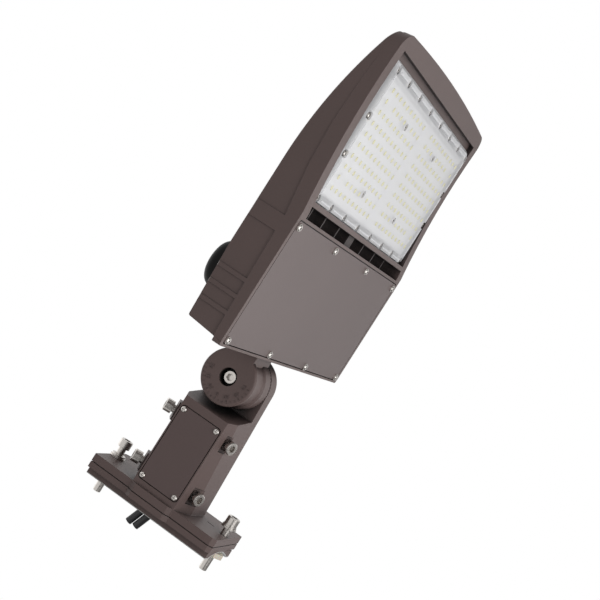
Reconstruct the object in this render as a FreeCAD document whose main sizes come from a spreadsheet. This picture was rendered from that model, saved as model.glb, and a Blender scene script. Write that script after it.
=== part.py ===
"""Shoebox area light on an adjustable pole arm.

Frame: +Z up, +X from the pole to the tip of the head, millimetres.
The origin is the middle of the face that lies on the pole.
Everything that tilts is drawn in the head's own frame, whose origin is the knuckle's pivot.
"""
import FreeCAD, Part
import Sketcher
import math
import os
import re

Vector = FreeCAD.Vector
Rotation = FreeCAD.Rotation

doc = FreeCAD.newDocument("shoebox_area_light")
sheet = doc.addObject("Spreadsheet::Sheet", "sizes")

SIZES = {
    # pole adaptor, flange and the gaskets between them
    "pivot_x": (190, "pole face to the knuckle's pivot axis"),
    "pole_radius": (68, "round pole that the back fits"),
    "arch_half": (32, "half width of the hollow back"),
    "pole_gasket_thick": (1, "gasket on the pole face"),
    "adaptor_back_thick": (8.5, "narrow rear step of the adaptor"),
    "adaptor_front_thick": (7.5, "wide front step of the adaptor"),
    "adaptor_back_half_y": (41, "half width of the rear step"),
    "adaptor_back_half_z": (90, "half height of the rear step"),
    "flange_gasket_thick": (1, "gasket between adaptor and flange"),
    "flange_gasket_inset": (2, "how far that gasket stays inside the outline"),
    "flange_thick": (9.5, "arm flange"),
    "plate_half_y": (53, "half width of flange and adaptor"),
    "plate_half_z": (93, "half height of flange and adaptor"),
    "plate_corner": (5, "corner bevel of flange and adaptor"),
    "belly_out": (5, "how far the middle of the plate stands out sideways"),
    "belly_half": (24, "half height of that wider middle"),
    "belly_ramp": (7, "height of its ramps"),
    "cable_hole_radius": (15, "cable hole in the adaptor"),
    "cable_hole_z": (10, "height of the cable hole"),
    "mount_spacing": (165, "distance between the two mounting bolts"),
    "mount_hole_radius": (5.5, "hole for a mounting bolt"),
    "drain_slot_length": (10, "slot in the flange"),
    "drain_slot_width": (2, "its width"),
    "drain_slot_y": (6, "its place across"),
    "drain_slot_z": (60, "its place below the axis"),
    # fasteners
    "m10_radius": (5, "M10 thread"),
    "m10_plain_radius": (4.9, "M10 bolt, plain shank above its thread"),
    "m10_edge": (0.8, "M10 bolt, chamfer of its end and head"),
    "m10_head_radius": (8, "M10 socket head"),
    "m10_head_tall": (10, "M10 socket head"),
    "m10_socket_radius": (4.6, "hexagon socket, to its corners"),
    "m10_socket_deep": (5, "hexagon socket"),
    "m10_washer_radius": (10, "M10 flat washer"),
    "m10_washer_thick": (2, "M10 flat washer"),
    "spring_washer_radius": (8.8, "M10 spring washer"),
    "spring_washer_thick": (2.4, "M10 spring washer"),
    "spring_slit": (1.2, "spring washer, gap where it is split"),
    "m10_nut_corner": (9.8, "M10 nut, to its corners"),
    "m10_nut_thick": (8, "M10 nut"),
    "mount_bolt_under_head": (62, "mounting bolt, length under its head"),
    "mount_bolt_lift": (14, "how far its head stands off the flange"),
    "retainer_corner": (13.5, "hexagon retaining nut behind the adaptor, to its corners"),
    "retainer_thick": (6, "retaining nut"),
    "running_fit": (0.05, "radial gap of a shaft or screw in its close hole"),
    "seat_gap": (0.3, "gap where a piece sits without pressing"),
    "loose_fit": (0.3, "radial gap of a screw in its clearance hole"),
    # arm casting
    "arm_near": (54, "near face, which carries the cover"),
    "arm_far": (24, "far face"),
    "arm_face_half": (30.5, "half height of the near face"),
    "arm_facet_y": (22, "where the side facets end"),
    "arm_side_half": (42.3, "half height at the flange"),
    "ear_radius": (35, "round ear about the pivot"),
    "ear_near": (3, "ear face that the knuckle clamps against"),
    "recess_x": (145.5, "near edge of the knuckle recess"),
    "recess_slant": (9, "how far its end wall leans"),
    "tenon_radius": (30.5, "bore for a pole tenon"),
    "tenon_y": (15, "bore axis, towards the near side"),
    "tenon_end": (138, "end of the bore"),
    "clamp_tilt": (25, "tilt of the tenon bolts from vertical"),
    "clamp_x1": (50, "first pair of tenon bolts"),
    "clamp_x2": (121, "second pair"),
    "clamp_pocket_floor": (40, "pocket floor of the driven bolts, from the bore axis"),
    "clamp_pocket_half": (11, "half length of that pocket"),
    "clamp_pocket_wide": (10.5, "half width of that pocket"),
    "clamp_boss_top": (45, "boss of the loose bolts, from the bore axis"),
    "clamp_boss_half": (12, "half length of that boss"),
    "clamp_under_head": (20, "tenon bolt, length under its head"),
    "clamp_loose_gap": (3.5, "bare shank of the loose bolts"),
    "clamp_drive_gap": (0.8, "bare shank of the driven bolts"),
    "window_x0": (45, "wiring window under the cover"),
    "window_x1": (124, "its other end"),
    "window_half": (19, "its half height"),
    "arm_cover_x0": (35.5, "arm cover, end by the flange"),
    "arm_cover_length": (98.5, "arm cover"),
    "arm_cover_half": (28, "arm cover, half height"),
    "arm_cover_thick": (2, "arm cover"),
    "arm_cover_corner": (4, "its corner radius"),
    "arm_cover_gap": (1, "gap around it"),
    "arm_gasket_thick": (1.2, "gasket under the arm cover"),
    "arm_gasket_wide": (8, "its width around the window"),
    "arm_screw_inset": (4, "cover screws from the cover's edges"),
    "m4_radius": (2, "M4 shank"),
    "m4_head_radius": (3.65, "M4 pan head"),
    "m4_head_tall": (2.4, "M4 pan head"),
    "m4_long": (10, "M4 screw under its head"),
    # knuckle
    "tooth_count": (60, "serrations around the pivot"),
    "tooth_tall": (1.2, "height of a serration"),
    "tooth_wide": (2.2, "width of a groove between serrations"),
    "tooth_inner": (26, "inner radius of the serrations"),
    "tooth_gap": (0.3, "gap that lets the loosened knuckle turn"),
    "barrel_radius": (34.5, "knuckle barrel"),
    "barrel_groove_radius": (32, "waist of the barrel"),
    "barrel_face_thick": (5, "dial disc"),
    "barrel_lip": (18, "wide part behind the waist"),
    "barrel_edge": (3, "rounded edge of the dial face"),
    "dial_bore_radius": (10.9, "counterbore of the pivot bolt"),
    "dial_bore_deep": (17, "its depth"),
    "ear_bore_radius": (12.5, "counterbore of the pivot nut"),
    "ear_bore_deep": (10, "its depth"),
    "neck_low": (18, "neck below the pivot axis"),
    "neck_high": (12, "neck above the pivot axis"),
    "neck_reach": (46, "pivot to the neck's end"),
    "neck_start": (18, "where the neck leaves the barrel"),
    "neck_gasket_thick": (1, "gasket between neck and housing"),
    "neck_screw_y": (8, "neck screws from the neck's sides"),
    "neck_screw_z": (8, "neck screws from its top and bottom"),
    "neck_screw_deep": (14, "tapped hole"),
    "neck_wire_radius": (7, "wire passage in the neck"),
    "neck_wire_deep": (16, "its depth"),
    "m6_radius": (3, "M6 shank"),
    "m6_head_radius": (5, "M6 head"),
    "m6_head_tall": (4, "M6 head"),
    "m6_long": (20, "M6 screw under its head"),
    # head housing, from the pivot axis
    "head_reach": (41.4, "pivot to the rear edge of the rim"),
    "head_tip": (425, "pivot to the tip"),
    "tip_bow": (7, "how far the tip bows out"),
    "tip_corner": (20, "plan radius of the tip's corners"),
    "head_half": (234, "half width at the rim"),
    "rim_drop": (34, "rim plane below the pivot"),
    "crown_rear": (14.4, "roof height at the rear edge"),
    "crown_top": (19, "roof height over the driver"),
    "crown_flat_from": (139, "where the flat roof starts"),
    "crown_flat_to": (242, "where it starts to fall"),
    "crown_radius": (493, "radius of its fall to the tip"),
    "wall_lean": (5, "lean of the outer walls, degrees"),
    "edge_round": (3, "rounding of the roof's edges"),
    "rear_step": (4.2, "rim behind the rear wall"),
    "rear_rim_tall": (10, "height of the rear rim"),
    "arch_from": (204, "where the rim's lower edge starts to rise"),
    "arch_radius": (1177, "radius of that rising edge"),
    "tip_rise": (5.6, "rim plane to the tip's lower edge"),
    # side relief
    "relief_deep": (1.5, "depth of the side panels"),
    "relief_low_rear": (22, "lower edge of the rear panels, at the rear"),
    "relief_low_front": (18.5, "lower edge of the rear panels, at the band"),
    "rib_wide": (5, "upright ribs"),
    "rib_first": (71, "first rib"),
    "rib_pitch": (19.5, "rib to rib"),
    "band_from": (172, "upright band"),
    "band_wide": (19, "its width"),
    "long_panel_to": (408, "end of the long panel"),
    "long_panel_top": (7, "highest point of its lower edge"),
    # driver bay
    "cover_rear": (45.6, "driver cover, rear edge"),
    "cover_length": (149, "driver cover"),
    "cover_half": (225.5, "driver cover, half width"),
    "cover_gap": (1.2, "gap around it"),
    "cover_thick": (2.5, "driver cover"),
    "cover_gasket_thick": (1.5, "gasket under it"),
    "cover_gasket_wide": (9.5, "its width"),
    "cover_screw_rear": (49.4, "rear row of cover screws"),
    "cover_screw_front": (188, "front row of cover screws"),
    "cover_screw_inner": (72.7, "inner cover screws"),
    "cover_screw_outer": (218.5, "outer cover screws"),
    "cover_boss_radius": (5.6, "bosses of the front cover screws"),
    "m5_radius": (2.5, "M5 shank"),
    "m5_head_radius": (4.6, "M5 pan head"),
    "m5_head_tall": (2.6, "M5 pan head"),
    "m5_long": (9, "M5 screw under its head"),
    "bay_rear": (55, "driver bay, inside"),
    "bay_front": (190.5, "driver bay, inside"),
    "bay_half": (216, "driver bay, inside half width"),
    "bay_roof": (10, "driver bay roof"),
    # vents
    "vent_rear": (199.5, "vent trough, edge by the driver bay"),
    "vent_front": (213.5, "vent trough, edge by the lens"),
    "vent_half": (215, "vent trough, half width"),
    "vent_rib_drop": (19, "lower edge of the ribs between the windows"),
    "vent_rib_wide": (3, "those ribs"),
    "vent_middle_wide": (24.6, "the middle rib"),
    "vent_rib_y1": (58, "ribs from the middle"),
    "vent_rib_y2": (116, "second"),
    "vent_rib_y3": (169, "third"),
    # fins
    "fin_thick": (3, "cooling fin"),
    "fin_pitch": (18, "fin to fin"),
    "fin_drop": (4, "fin tops below the side walls"),
    "fin_deck": (12, "deck between the fins, below the pivot"),
    "fin_field_half": (222, "half width of the fin field"),
    "fin_field_end": (394, "front end of the fin field"),
    # light engine
    "lens_bay_rear": (219.3, "lens bay"),
    "lens_bay_front": (401, "lens bay"),
    "lens_bay_half": (213.5, "lens bay, half width"),
    "lens_bay_floor": (20, "its floor below the pivot"),
    "lens_rear": (220.9, "lens face"),
    "lens_length": (166, "lens face"),
    "lens_half": (205, "lens face, half width"),
    "lens_corner": (3, "cut corners of the lens"),
    "lens_face_drop": (28.4, "lens face below the pivot"),
    "lens_skin": (2.6, "lens wall"),
    "lens_skirt": (5, "how far the skirt spreads at the sides and the front"),
    "lens_skirt_rear": (1.2, "how far it spreads at the rear"),
    "lens_edge_solid": (9.5, "solid border that takes the screws"),
    "lens_gasket_thick": (1.5, "gasket under the lens"),
    "lens_notch_wide": (9, "U slots in the lens edge"),
    "lens_notch_deep": (3.2, "their depth"),
    "lens_notch_reach": (12, "from the screw out past the skirt"),
    "lens_screw_rear": (224.6, "rear row of lens screws"),
    "lens_screw_front": (382.2, "front row"),
    "lens_screw_side": (200.6, "side columns"),
    "lens_screw_y1": (30.4, "screws of both rows, from the middle"),
    "lens_screw_y2": (90.7, "second"),
    "lens_screw_y3": (147.5, "third"),
    "lens_screw_side_x1": (279, "side screws"),
    "lens_screw_side_x2": (326, "side screws"),
    "lens_screw_inner_x1": (259, "inner screws"),
    "lens_screw_inner_x2": (348, "inner screws"),
    "lens_screw_inner_y": (78, "inner screws"),
    "lens_post_radius": (6, "hollow post round an inner screw"),
    "board_thick": (1.6, "LED board"),
    "board_rear": (233, "LED boards"),
    "board_length": (140, "LED boards"),
    "board_inner": (3, "gap from the middle to a board"),
    "board_wide": (189, "LED boards"),
    "board_screw_y": (164.4, "board screws"),
    "board_screw_long": (5, "board screws"),
    "lens_screw_hole": (5.8, "tapped holes in the lens bay floor"),
    "chip_side": (3, "LED chip"),
    "chip_tall": (0.7, "LED chip"),
    "chip_first_x": (242.4, "first LED row"),
    "chip_pitch_x": (13.46, "LED rows"),
    "chip_first_y": (22, "first LED column from the middle"),
    "chip_pitch_y": (17.8, "LED columns"),
    # inside the driver bay
    "driver_length": (150, "LED driver"),
    "driver_wide": (68, "LED driver"),
    "driver_tall": (32, "LED driver"),
    "driver_x": (80, "its rear side"),
    "driver_y": (42, "its end nearest the middle"),
    "driver_ear": (12, "mounting ears"),
    "driver_ear_thick": (2.5, "mounting ears"),
    "driver_screw_long": (7, "screw through an ear into the roof"),
    "surge_long": (63, "surge protector"),
    "surge_wide": (38, "surge protector"),
    "surge_tall": (25, "surge protector"),
    "surge_x": (130, "surge protector"),
    "surge_y": (150, "surge protector"),
    "terminal_long": (60, "terminal block"),
    "terminal_wide": (22, "terminal block"),
    "terminal_tall": (18, "terminal block"),
    "terminal_x": (76, "terminal block"),
    "terminal_y": (110, "terminal block"),
    # photocell socket and cap
    "socket_x": (103, "axis of the twist-lock socket"),
    "socket_seat_radius": (38, "raised seat on the roof"),
    "socket_seat_top": (22, "its height"),
    "socket_gasket_thick": (1.5, "gasket under the socket"),
    "socket_radius": (33, "twist-lock socket"),
    "socket_foot_radius": (35.5, "its foot"),
    "socket_foot_tall": (8, "its foot"),
    "socket_tall": (33, "twist-lock socket"),
    "socket_wire_radius": (14, "wire hole under it"),
    "socket_screw_y": (24, "its screws from the axis"),
    "blade_circle": (13.3, "circle of the three contact blades"),
    "blade_long": (11, "contact blade"),
    "blade_wide": (7, "contact blade"),
    "blade_thick": (1.6, "contact blade"),
    "blade_slot_gap": (0.6, "room around a blade"),
    "cap_twist": (20, "turn that locks the cap, degrees"),
    "cap_radius": (31.5, "shorting cap"),
    "cap_tall": (54, "shorting cap"),
    "cap_round": (12, "rounded top edge of the cap"),
    "cap_gap": (0.3, "gap between cap and socket"),
    # cables
    "cable_radius": (4.65, "cable"),
    "cable_side": (5.3, "half distance between the two cables"),
    "bung_from": (33, "cable bung in the arm's mouth"),
    "bung_thick": (12, "cable bung"),
    "bung_fit": (0.1, "radial gap of the bung in the bore"),
}

for row, (name, (number, note)) in enumerate(SIZES.items(), start=1):
    sheet.set("A%d" % row, name)
    sheet.set("B%d" % row, str(number))
    sheet.set("C%d" % row, note)
    sheet.setAlias("B%d" % row, name)
doc.recompute()

WORDS = re.compile(r"\b(%s)\b" % "|".join(sorted(SIZES, key=len, reverse=True)))


def sized(text):
    """The expression with each size looked up in the sheet."""
    return WORDS.sub(r"sizes.\1", text)


def number(text):
    """The expression's value now."""
    return float(sheet.evalExpression(sized(text)))


def bind(thing, path, text):
    thing.setExpression(path, sized(text))


def both(text):
    """The two mirrored values of a size."""
    return ["-(%s)" % text, "(%s)" % text]


# ---------------------------------------------------------------- drawing

PLANES = {"X": "YZ_Plane", "Y": "XZ_Plane", "Z": "XY_Plane"}


def new_body(name):
    body = doc.addObject("PartDesign::Body", name)
    body.Label = name
    body.AllowCompound = True
    return body


def new_sketch(body, axis, level):
    """A sketch square to an axis, at a level along it."""
    sketch = body.newObject("Sketcher::SketchObject", body.Name + "_sketch")
    plane = [f for f in body.Origin.OriginFeatures if f.Role == PLANES[axis]][0]
    sketch.AttachmentSupport = (plane, "")
    sketch.MapMode = "FlatFace"
    bind(sketch, "AttachmentOffset.Base.z", "-(%s)" % level if axis == "Y" else level)
    return sketch


def pin_point(sketch, geometry, end, u, v):
    """Holds a point of the sketch at the sizes u and v."""
    for kind, text in (("DistanceX", u), ("DistanceY", v)):
        index = sketch.addConstraint(Sketcher.Constraint(kind, -1, 1, geometry, end, number(text)))
        bind(sketch, "Constraints[%d]" % index, text)


def draw(sketch, corners):
    """A closed outline. A corner is (u, v), or (u, v, radius) where an arc leads to the next;
    a minus sign before the radius turns the arc clockwise."""
    points = [Vector(number(c[0]), number(c[1]), 0) for c in corners]
    ends = []
    for i, corner in enumerate(corners):
        start = points[i]
        end = points[(i + 1) % len(points)]
        first = 1
        if len(corner) == 3:
            radius = number(corner[2])
            chord = end - start
            side = Vector(chord.y, -chord.x, 0).normalize() * math.copysign(1, radius)
            half = chord.Length / 2
            rise = abs(radius) - math.sqrt(max(radius ** 2 - half ** 2, 0))
            index = sketch.addGeometry(Part.Arc(start, (start + end) * 0.5 + side * rise, end))
            if radius < 0:
                first = 2
            if rise < 0.999 * abs(radius):
                held = sketch.addConstraint(Sketcher.Constraint("Radius", index, abs(radius)))
                bind(sketch, "Constraints[%d]" % held, "abs(%s)" % corner[2])
        else:
            index = sketch.addGeometry(Part.LineSegment(start, end))
        pin_point(sketch, index, first, corner[0], corner[1])
        ends.append((index, first))
    for (index, first), (following, start) in zip(ends, ends[1:] + ends[:1]):
        sketch.addConstraint(Sketcher.Constraint("Coincident", index, 3 - first, following, start))


def ring(sketch, u, v, radius):
    """A circle."""
    centre = Vector(number(u), number(v), 0)
    index = sketch.addGeometry(Part.Circle(centre, Vector(0, 0, 1), number(radius)))
    pin_point(sketch, index, 3, u, v)
    held = sketch.addConstraint(Sketcher.Constraint("Radius", index, number(radius)))
    bind(sketch, "Constraints[%d]" % held, radius)


def rectangle(u0, u1, v0, v1):
    return [(u0, v0), (u1, v0), (u1, v1), (u0, v1)]


def rounded(u0, u1, v0, v1, radius):
    """A rectangle with rounded corners."""
    u2 = "(%s)+(%s)" % (u0, radius)
    u3 = "(%s)-(%s)" % (u1, radius)
    v2 = "(%s)+(%s)" % (v0, radius)
    v3 = "(%s)-(%s)" % (v1, radius)
    return [(u2, v0), (u3, v0, radius), (u1, v2), (u1, v3, radius),
            (u3, v1), (u2, v1, radius), (u0, v3), (u0, v2, radius)]


def extrude(body, kind, axis, start, end, outlines, rings=()):
    """Pads or pockets outlines and circles from one level to another along an axis."""
    sketch = new_sketch(body, axis, start)
    for outline in outlines:
        draw(sketch, outline)
    for circle in rings:
        ring(sketch, *circle)
    feature = body.newObject("PartDesign::" + kind, body.Name + "_" + kind.lower())
    feature.Profile = sketch
    bind(feature, "Length", "(%s)-(%s)" % (end, start))
    along_normal = axis != "Y"
    feature.Reversed = along_normal if kind == "Pocket" else not along_normal
    return feature


def pad(body, axis, start, end, outlines, rings=()):
    return extrude(body, "Pad", axis, start, end, outlines, rings)


def pocket(body, axis, start, end, outlines, rings=()):
    return extrude(body, "Pocket", axis, start, end, outlines, rings)


def lathe(body, axis, outline):
    """Turns an outline (radius, level) about an axis through the body's origin."""
    sketch = new_sketch(body, "Z" if axis == "Y" else "Y", "0")
    draw(sketch, outline)
    feature = body.newObject("PartDesign::Revolution", body.Name + "_turned")
    feature.Profile = sketch
    feature.ReferenceAxis = (sketch, ["V_Axis"])
    feature.Angle = 360
    return feature


def edges_of(feature, wanted):
    """Names of the edges that pass a test."""
    doc.recompute()
    return ["Edge%d" % (i + 1) for i, edge in enumerate(feature.Shape.Edges) if wanted(edge)]


def faces_of(feature, wanted):
    doc.recompute()
    return ["Face%d" % (i + 1) for i, face in enumerate(feature.Shape.Faces) if wanted(face)]


def fillet(body, feature, radius, wanted):
    rounding = body.newObject("PartDesign::Fillet", body.Name + "_fillet")
    rounding.Base = (feature, edges_of(feature, wanted))
    bind(rounding, "Radius", radius)
    return rounding


def place(thing, x, y, z, turn=None):
    if turn is not None:
        thing.Placement = FreeCAD.Placement(Vector(), turn)
    bind(thing, "Placement.Base.x", x)
    bind(thing, "Placement.Base.y", y)
    bind(thing, "Placement.Base.z", z)
    return thing


def cylinder(name, radius, height, x="0", y="0", z="0", turn=None):
    thing = doc.addObject("Part::Cylinder", name)
    bind(thing, "Radius", radius)
    bind(thing, "Height", height)
    return place(thing, x, y, z, turn)


def hexagon(name, corner, height, x="0", y="0", z="0", turn=None):
    thing = doc.addObject("Part::Prism", name)
    thing.Polygon = 6
    bind(thing, "Circumradius", corner)
    bind(thing, "Height", height)
    return place(thing, x, y, z, turn)


def block(name, x0, x1, y0, y1, z0, z1):
    thing = doc.addObject("Part::Box", name)
    bind(thing, "Length", "(%s)-(%s)" % (x1, x0))
    bind(thing, "Width", "(%s)-(%s)" % (y1, y0))
    bind(thing, "Height", "(%s)-(%s)" % (z1, z0))
    return place(thing, x0, y0, z0)


def fuse(name, things):
    thing = doc.addObject("Part::MultiFuse", name)
    thing.Shapes = things
    return thing


def cut(name, base, tool):
    thing = doc.addObject("Part::Cut", name)
    thing.Base = base
    thing.Tool = tool
    return thing


def group(name, things):
    thing = doc.addObject("Part::Compound", name)
    thing.Links = things
    return thing


def copy_at(source, x, y, z, turn=None):
    link = doc.addObject("App::Link", source.Name + "_copy")
    link.LinkedObject = source
    return place(link, x, y, z, turn)


pieces = []


def finish(thing, name, in_head=False):
    """Names a sub-part and, in the head, moves it to the pivot."""
    thing.Label = name
    if in_head:
        bind(thing, "Placement.Base.x", "pivot_x")
    pieces.append(thing)
    return thing


# ---------------------------------------------------------------- levels used by several pieces

adaptor_front = "(pole_gasket_thick + adaptor_back_thick + adaptor_front_thick)"
flange_back = "(%s + flange_gasket_thick)" % adaptor_front
flange_face = "(%s + flange_thick)" % flange_back
cover_ledge = "(-rim_drop + cover_thick + cover_gasket_thick)"
lens_seat = "(-lens_bay_floor - lens_gasket_thick)"
board_face = "(-lens_bay_floor - board_thick)"
socket_base = "(socket_seat_top + socket_gasket_thick)"
cap_base = "(%s + socket_tall + cap_gap)" % socket_base
neck_seat = "(neck_reach + neck_gasket_thick)"
lip_end = "(ear_near - 2*tooth_tall - tooth_gap)"
MOUNT_ROWS = both("mount_spacing/2")


def plate_outline(inset):
    """Flange outline (Y, Z): bevelled corners and a wider middle."""
    y = "(plate_half_y - %s)" % inset
    z = "(plate_half_z - %s)" % inset
    out = "(%s + belly_out)" % y
    low = "belly_half"
    high = "(belly_half + belly_ramp)"
    quarter = [(y, "-(%s - plate_corner)" % z), (y, "-%s" % high), (out, "-%s" % low),
               (out, low), (y, high), (y, "%s - plate_corner" % z),
               ("%s - plate_corner" % y, z)]
    other = [("-(%s)" % u, "-(%s)" % v) for u, v in quarter]
    return quarter + other


def back_outline(gasket):
    """Section of the hollow back (X, Y): flat ridges beside an arch of the pole's radius."""
    far = "sqrt(pole_radius^2 - arch_half^2)"
    level = gasket
    half = "sqrt((pole_radius + %s)^2 - (%s + %s)^2)" % (gasket, far, gasket)
    return level, half


# ---------------------------------------------------------------- pole adaptor and gaskets

def pole_gasket():
    body = new_body("pole_gasket")
    level, half = back_outline("pole_gasket_thick")
    z = "adaptor_back_half_z"
    y = "adaptor_back_half_y"
    outline = [("0", "-" + y), (level, "-" + y), (level, "-(%s)" % half, "pole_radius + pole_gasket_thick"),
               (level, half), (level, y), ("0", y), ("0", "arch_half", "-pole_radius"), ("0", "-arch_half")]
    pad(body, "Z", "-" + z, z, [outline])
    holes = [("0", row, "mount_hole_radius") for row in MOUNT_ROWS]
    holes.append(("0", "cable_hole_z", "cable_hole_radius"))
    pocket(body, "X", "-1", adaptor_front, [], holes)
    return finish(body, "pole_gasket")


def pole_adaptor():
    body = new_body("pole_adaptor")
    step = "(pole_gasket_thick + adaptor_back_thick)"
    level, half = back_outline("pole_gasket_thick")
    z = "adaptor_back_half_z"
    y = "adaptor_back_half_y"
    pad(body, "X", step, adaptor_front, [plate_outline("0")])
    rear = [(level, "-" + y), (step, "-" + y), (step, y), (level, y),
            (level, half, "-(pole_radius + pole_gasket_thick)"), (level, "-(%s)" % half)]
    pad(body, "Z", "-" + z, z, [rear])
    holes = [("0", row, "mount_hole_radius") for row in MOUNT_ROWS]
    holes.append(("0", "cable_hole_z", "cable_hole_radius"))
    pocket(body, "X", "0", adaptor_front, [], holes)
    return finish(body, "pole_adaptor")


def flange_gasket():
    body = new_body("flange_gasket")
    pad(body, "X", adaptor_front, flange_back, [plate_outline("flange_gasket_inset")])
    holes = [("0", row, "mount_hole_radius") for row in MOUNT_ROWS]
    holes.append(("-tenon_y", "0", "tenon_radius"))
    pocket(body, "X", adaptor_front, flange_back, [], holes)
    return finish(body, "flange_gasket")


# ---------------------------------------------------------------- fasteners that are used several times

def socket_bolt(name, length, plain=None):
    """M10 socket-head bolt: head above its seat at level 0, shank below, plain as far down as asked."""
    body = new_body(name)
    shank = [("0", "-(%s)" % length), ("m10_radius - m10_edge", "-(%s)" % length),
             ("m10_radius", "-(%s) + m10_edge" % length)]
    if plain is None:
        shank.append(("m10_radius", "0"))
    else:
        shank += [("m10_radius", "-%s" % plain), ("m10_plain_radius", "-%s" % plain), ("m10_plain_radius", "0")]
    lathe(body, "Z", shank + [("m10_head_radius", "0"), ("m10_head_radius", "m10_head_tall - m10_edge"),
                              ("m10_head_radius - m10_edge", "m10_head_tall"), ("0", "m10_head_tall")])
    corners = []
    for side in range(6):
        corners.append(("m10_socket_radius * cos(%d deg)" % (60 * side),
                        "m10_socket_radius * sin(%d deg)" % (60 * side)))
    pocket(body, "Z", "m10_head_tall - m10_socket_deep", "m10_head_tall", [corners])
    return body


def pan_screw(name, radius, head_radius, head_tall, length):
    """Pan-head screw: head above its seat at level 0, shank below."""
    body = new_body(name)
    lathe(body, "Z", [("0", "-(%s)" % length), (radius, "-(%s)" % length), (radius, "0"),
                      (head_radius, "0"), (head_radius, "%s * 0.5" % head_tall),
                      ("%s * 0.72" % head_radius, head_tall), ("0", head_tall)])
    return body


def washer(name, outer, thick):
    body = new_body(name)
    inner = "m10_radius + loose_fit"
    lathe(body, "Z", [(inner, "0"), (outer, "0"), (outer, thick), (inner, thick)])
    return body


HEAD_TO_X = Rotation(Vector(0, 1, 0), 90)
HEAD_TO_NEAR = Rotation(Vector(1, 0, 0), 90)
HEAD_TO_FAR = Rotation(Vector(1, 0, 0), -90)
HEAD_DOWN = Rotation(Vector(1, 0, 0), 180)


# ---------------------------------------------------------------- serrations of the knuckle

def serrations():
    """Ring of radial teeth: roots at level 0 on a sunk foot, crests towards -Y."""
    body = new_body("serration_ring")
    foot = 1
    pad(body, "Y", "-tooth_tall", "%g" % foot, [], [("0", "0", "barrel_radius"), ("0", "0", "tooth_inner")])
    groove = [("-tooth_tall", "-tooth_wide/2"), ("0", "0"), ("-tooth_tall", "tooth_wide/2")]
    first = pocket(body, "X", "tooth_inner - 1", "barrel_radius + 1", [groove])
    pattern = body.newObject("PartDesign::PolarPattern", "serration_pattern")
    pattern.Originals = [first]
    axis = [f for f in body.Origin.OriginFeatures if f.Role == "Y_Axis"][0]
    pattern.Axis = (axis, [""])
    pattern.Angle = 360
    bind(pattern, "Occurrences", "tooth_count")
    body.Tip = pattern
    return body


# ---------------------------------------------------------------- arm

CLAMP_ROWS = ["clamp_x1", "clamp_x2"]
arm_recess_floor = "(-arm_near + arm_cover_thick + arm_gasket_thick)"
arm_cover_x1 = "(arm_cover_x0 + arm_cover_length)"
ARM_SCREWS = [(x, z) for x in ("arm_cover_x0 + arm_screw_inset", "%s - arm_screw_inset" % arm_cover_x1)
              for z in both("arm_cover_half - arm_screw_inset")]


def arm_casting():
    """Slip-fitter arm with its flange and ear, before the tilted bolt seats are cut."""
    body = new_body("arm_casting")
    section = [("-arm_near", "-arm_face_half"), ("-arm_facet_y", "-arm_side_half"),
               ("arm_far", "-arm_side_half"), ("arm_far", "arm_side_half"),
               ("-arm_facet_y", "arm_side_half"), ("-arm_near", "arm_face_half")]
    pad(body, "X", flange_back, "pivot_x", [section])
    past = "pivot_x + ear_radius + 1"
    above = [(flange_face, "arm_side_half"), ("pivot_x", "ear_radius"), (past, "ear_radius"),
             (past, "arm_side_half + 1"), (flange_face, "arm_side_half + 1")]
    below = [(u, "-(%s)" % v) for u, v in above]
    pocket(body, "Y", "-arm_near - 1", "arm_far + 1", [above, below])
    recess = [("recess_x", "-arm_near - 1"), ("recess_x", "-arm_near"),
              ("recess_x + recess_slant", "ear_near"), (past, "ear_near"), (past, "-arm_near - 1")]
    pocket(body, "Z", "-arm_side_half - 1", "arm_side_half + 1", [recess])
    pad(body, "Y", "ear_near", "arm_far", [], [("pivot_x", "0", "ear_radius")])
    pad(body, "X", flange_back, flange_face, [plate_outline("0")])
    pocket(body, "X", flange_back, "tenon_end", [], [("-tenon_y", "0", "tenon_radius")])
    outer = rounded("arm_cover_x0 - arm_cover_gap", "%s + arm_cover_gap" % arm_cover_x1,
                    "-arm_cover_half - arm_cover_gap", "arm_cover_half + arm_cover_gap",
                    "arm_cover_corner + arm_cover_gap")
    pocket(body, "Y", "-arm_near", arm_recess_floor, [outer])
    window = rounded("window_x0", "window_x1", "-window_half", "window_half", "arm_cover_corner")
    pocket(body, "Y", arm_recess_floor, "-tenon_y", [window])
    taps = [(x, z, "m4_radius + running_fit") for x, z in ARM_SCREWS]
    pocket(body, "Y", arm_recess_floor, "-arm_near + m4_long + 1", [], taps)
    bolts = [("0", row, "mount_hole_radius") for row in MOUNT_ROWS]
    slot = rectangle("drain_slot_y - drain_slot_width/2", "drain_slot_y + drain_slot_width/2",
                     "-drain_slot_z - drain_slot_length/2", "-drain_slot_z + drain_slot_length/2")
    pocket(body, "X", flange_back, flange_face, [slot], bolts)
    pocket(body, "Y", "ear_near", "arm_far", [], [("pivot_x", "0", "m10_radius + running_fit")])
    pocket(body, "Y", "arm_far - ear_bore_deep", "arm_far", [], [("pivot_x", "0", "ear_bore_radius")])
    return body


def at_clamp(source, row, upper):
    """A copy on the line of a tenon bolt, with its own Z along the bolt."""
    link = copy_at(source, row, "-tenon_y", "0", Rotation(Vector(1, 0, 0), 1))
    bind(link, "Placement.Rotation.Angle", "clamp_tilt" if upper else "180 - clamp_tilt")
    return link


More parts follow.
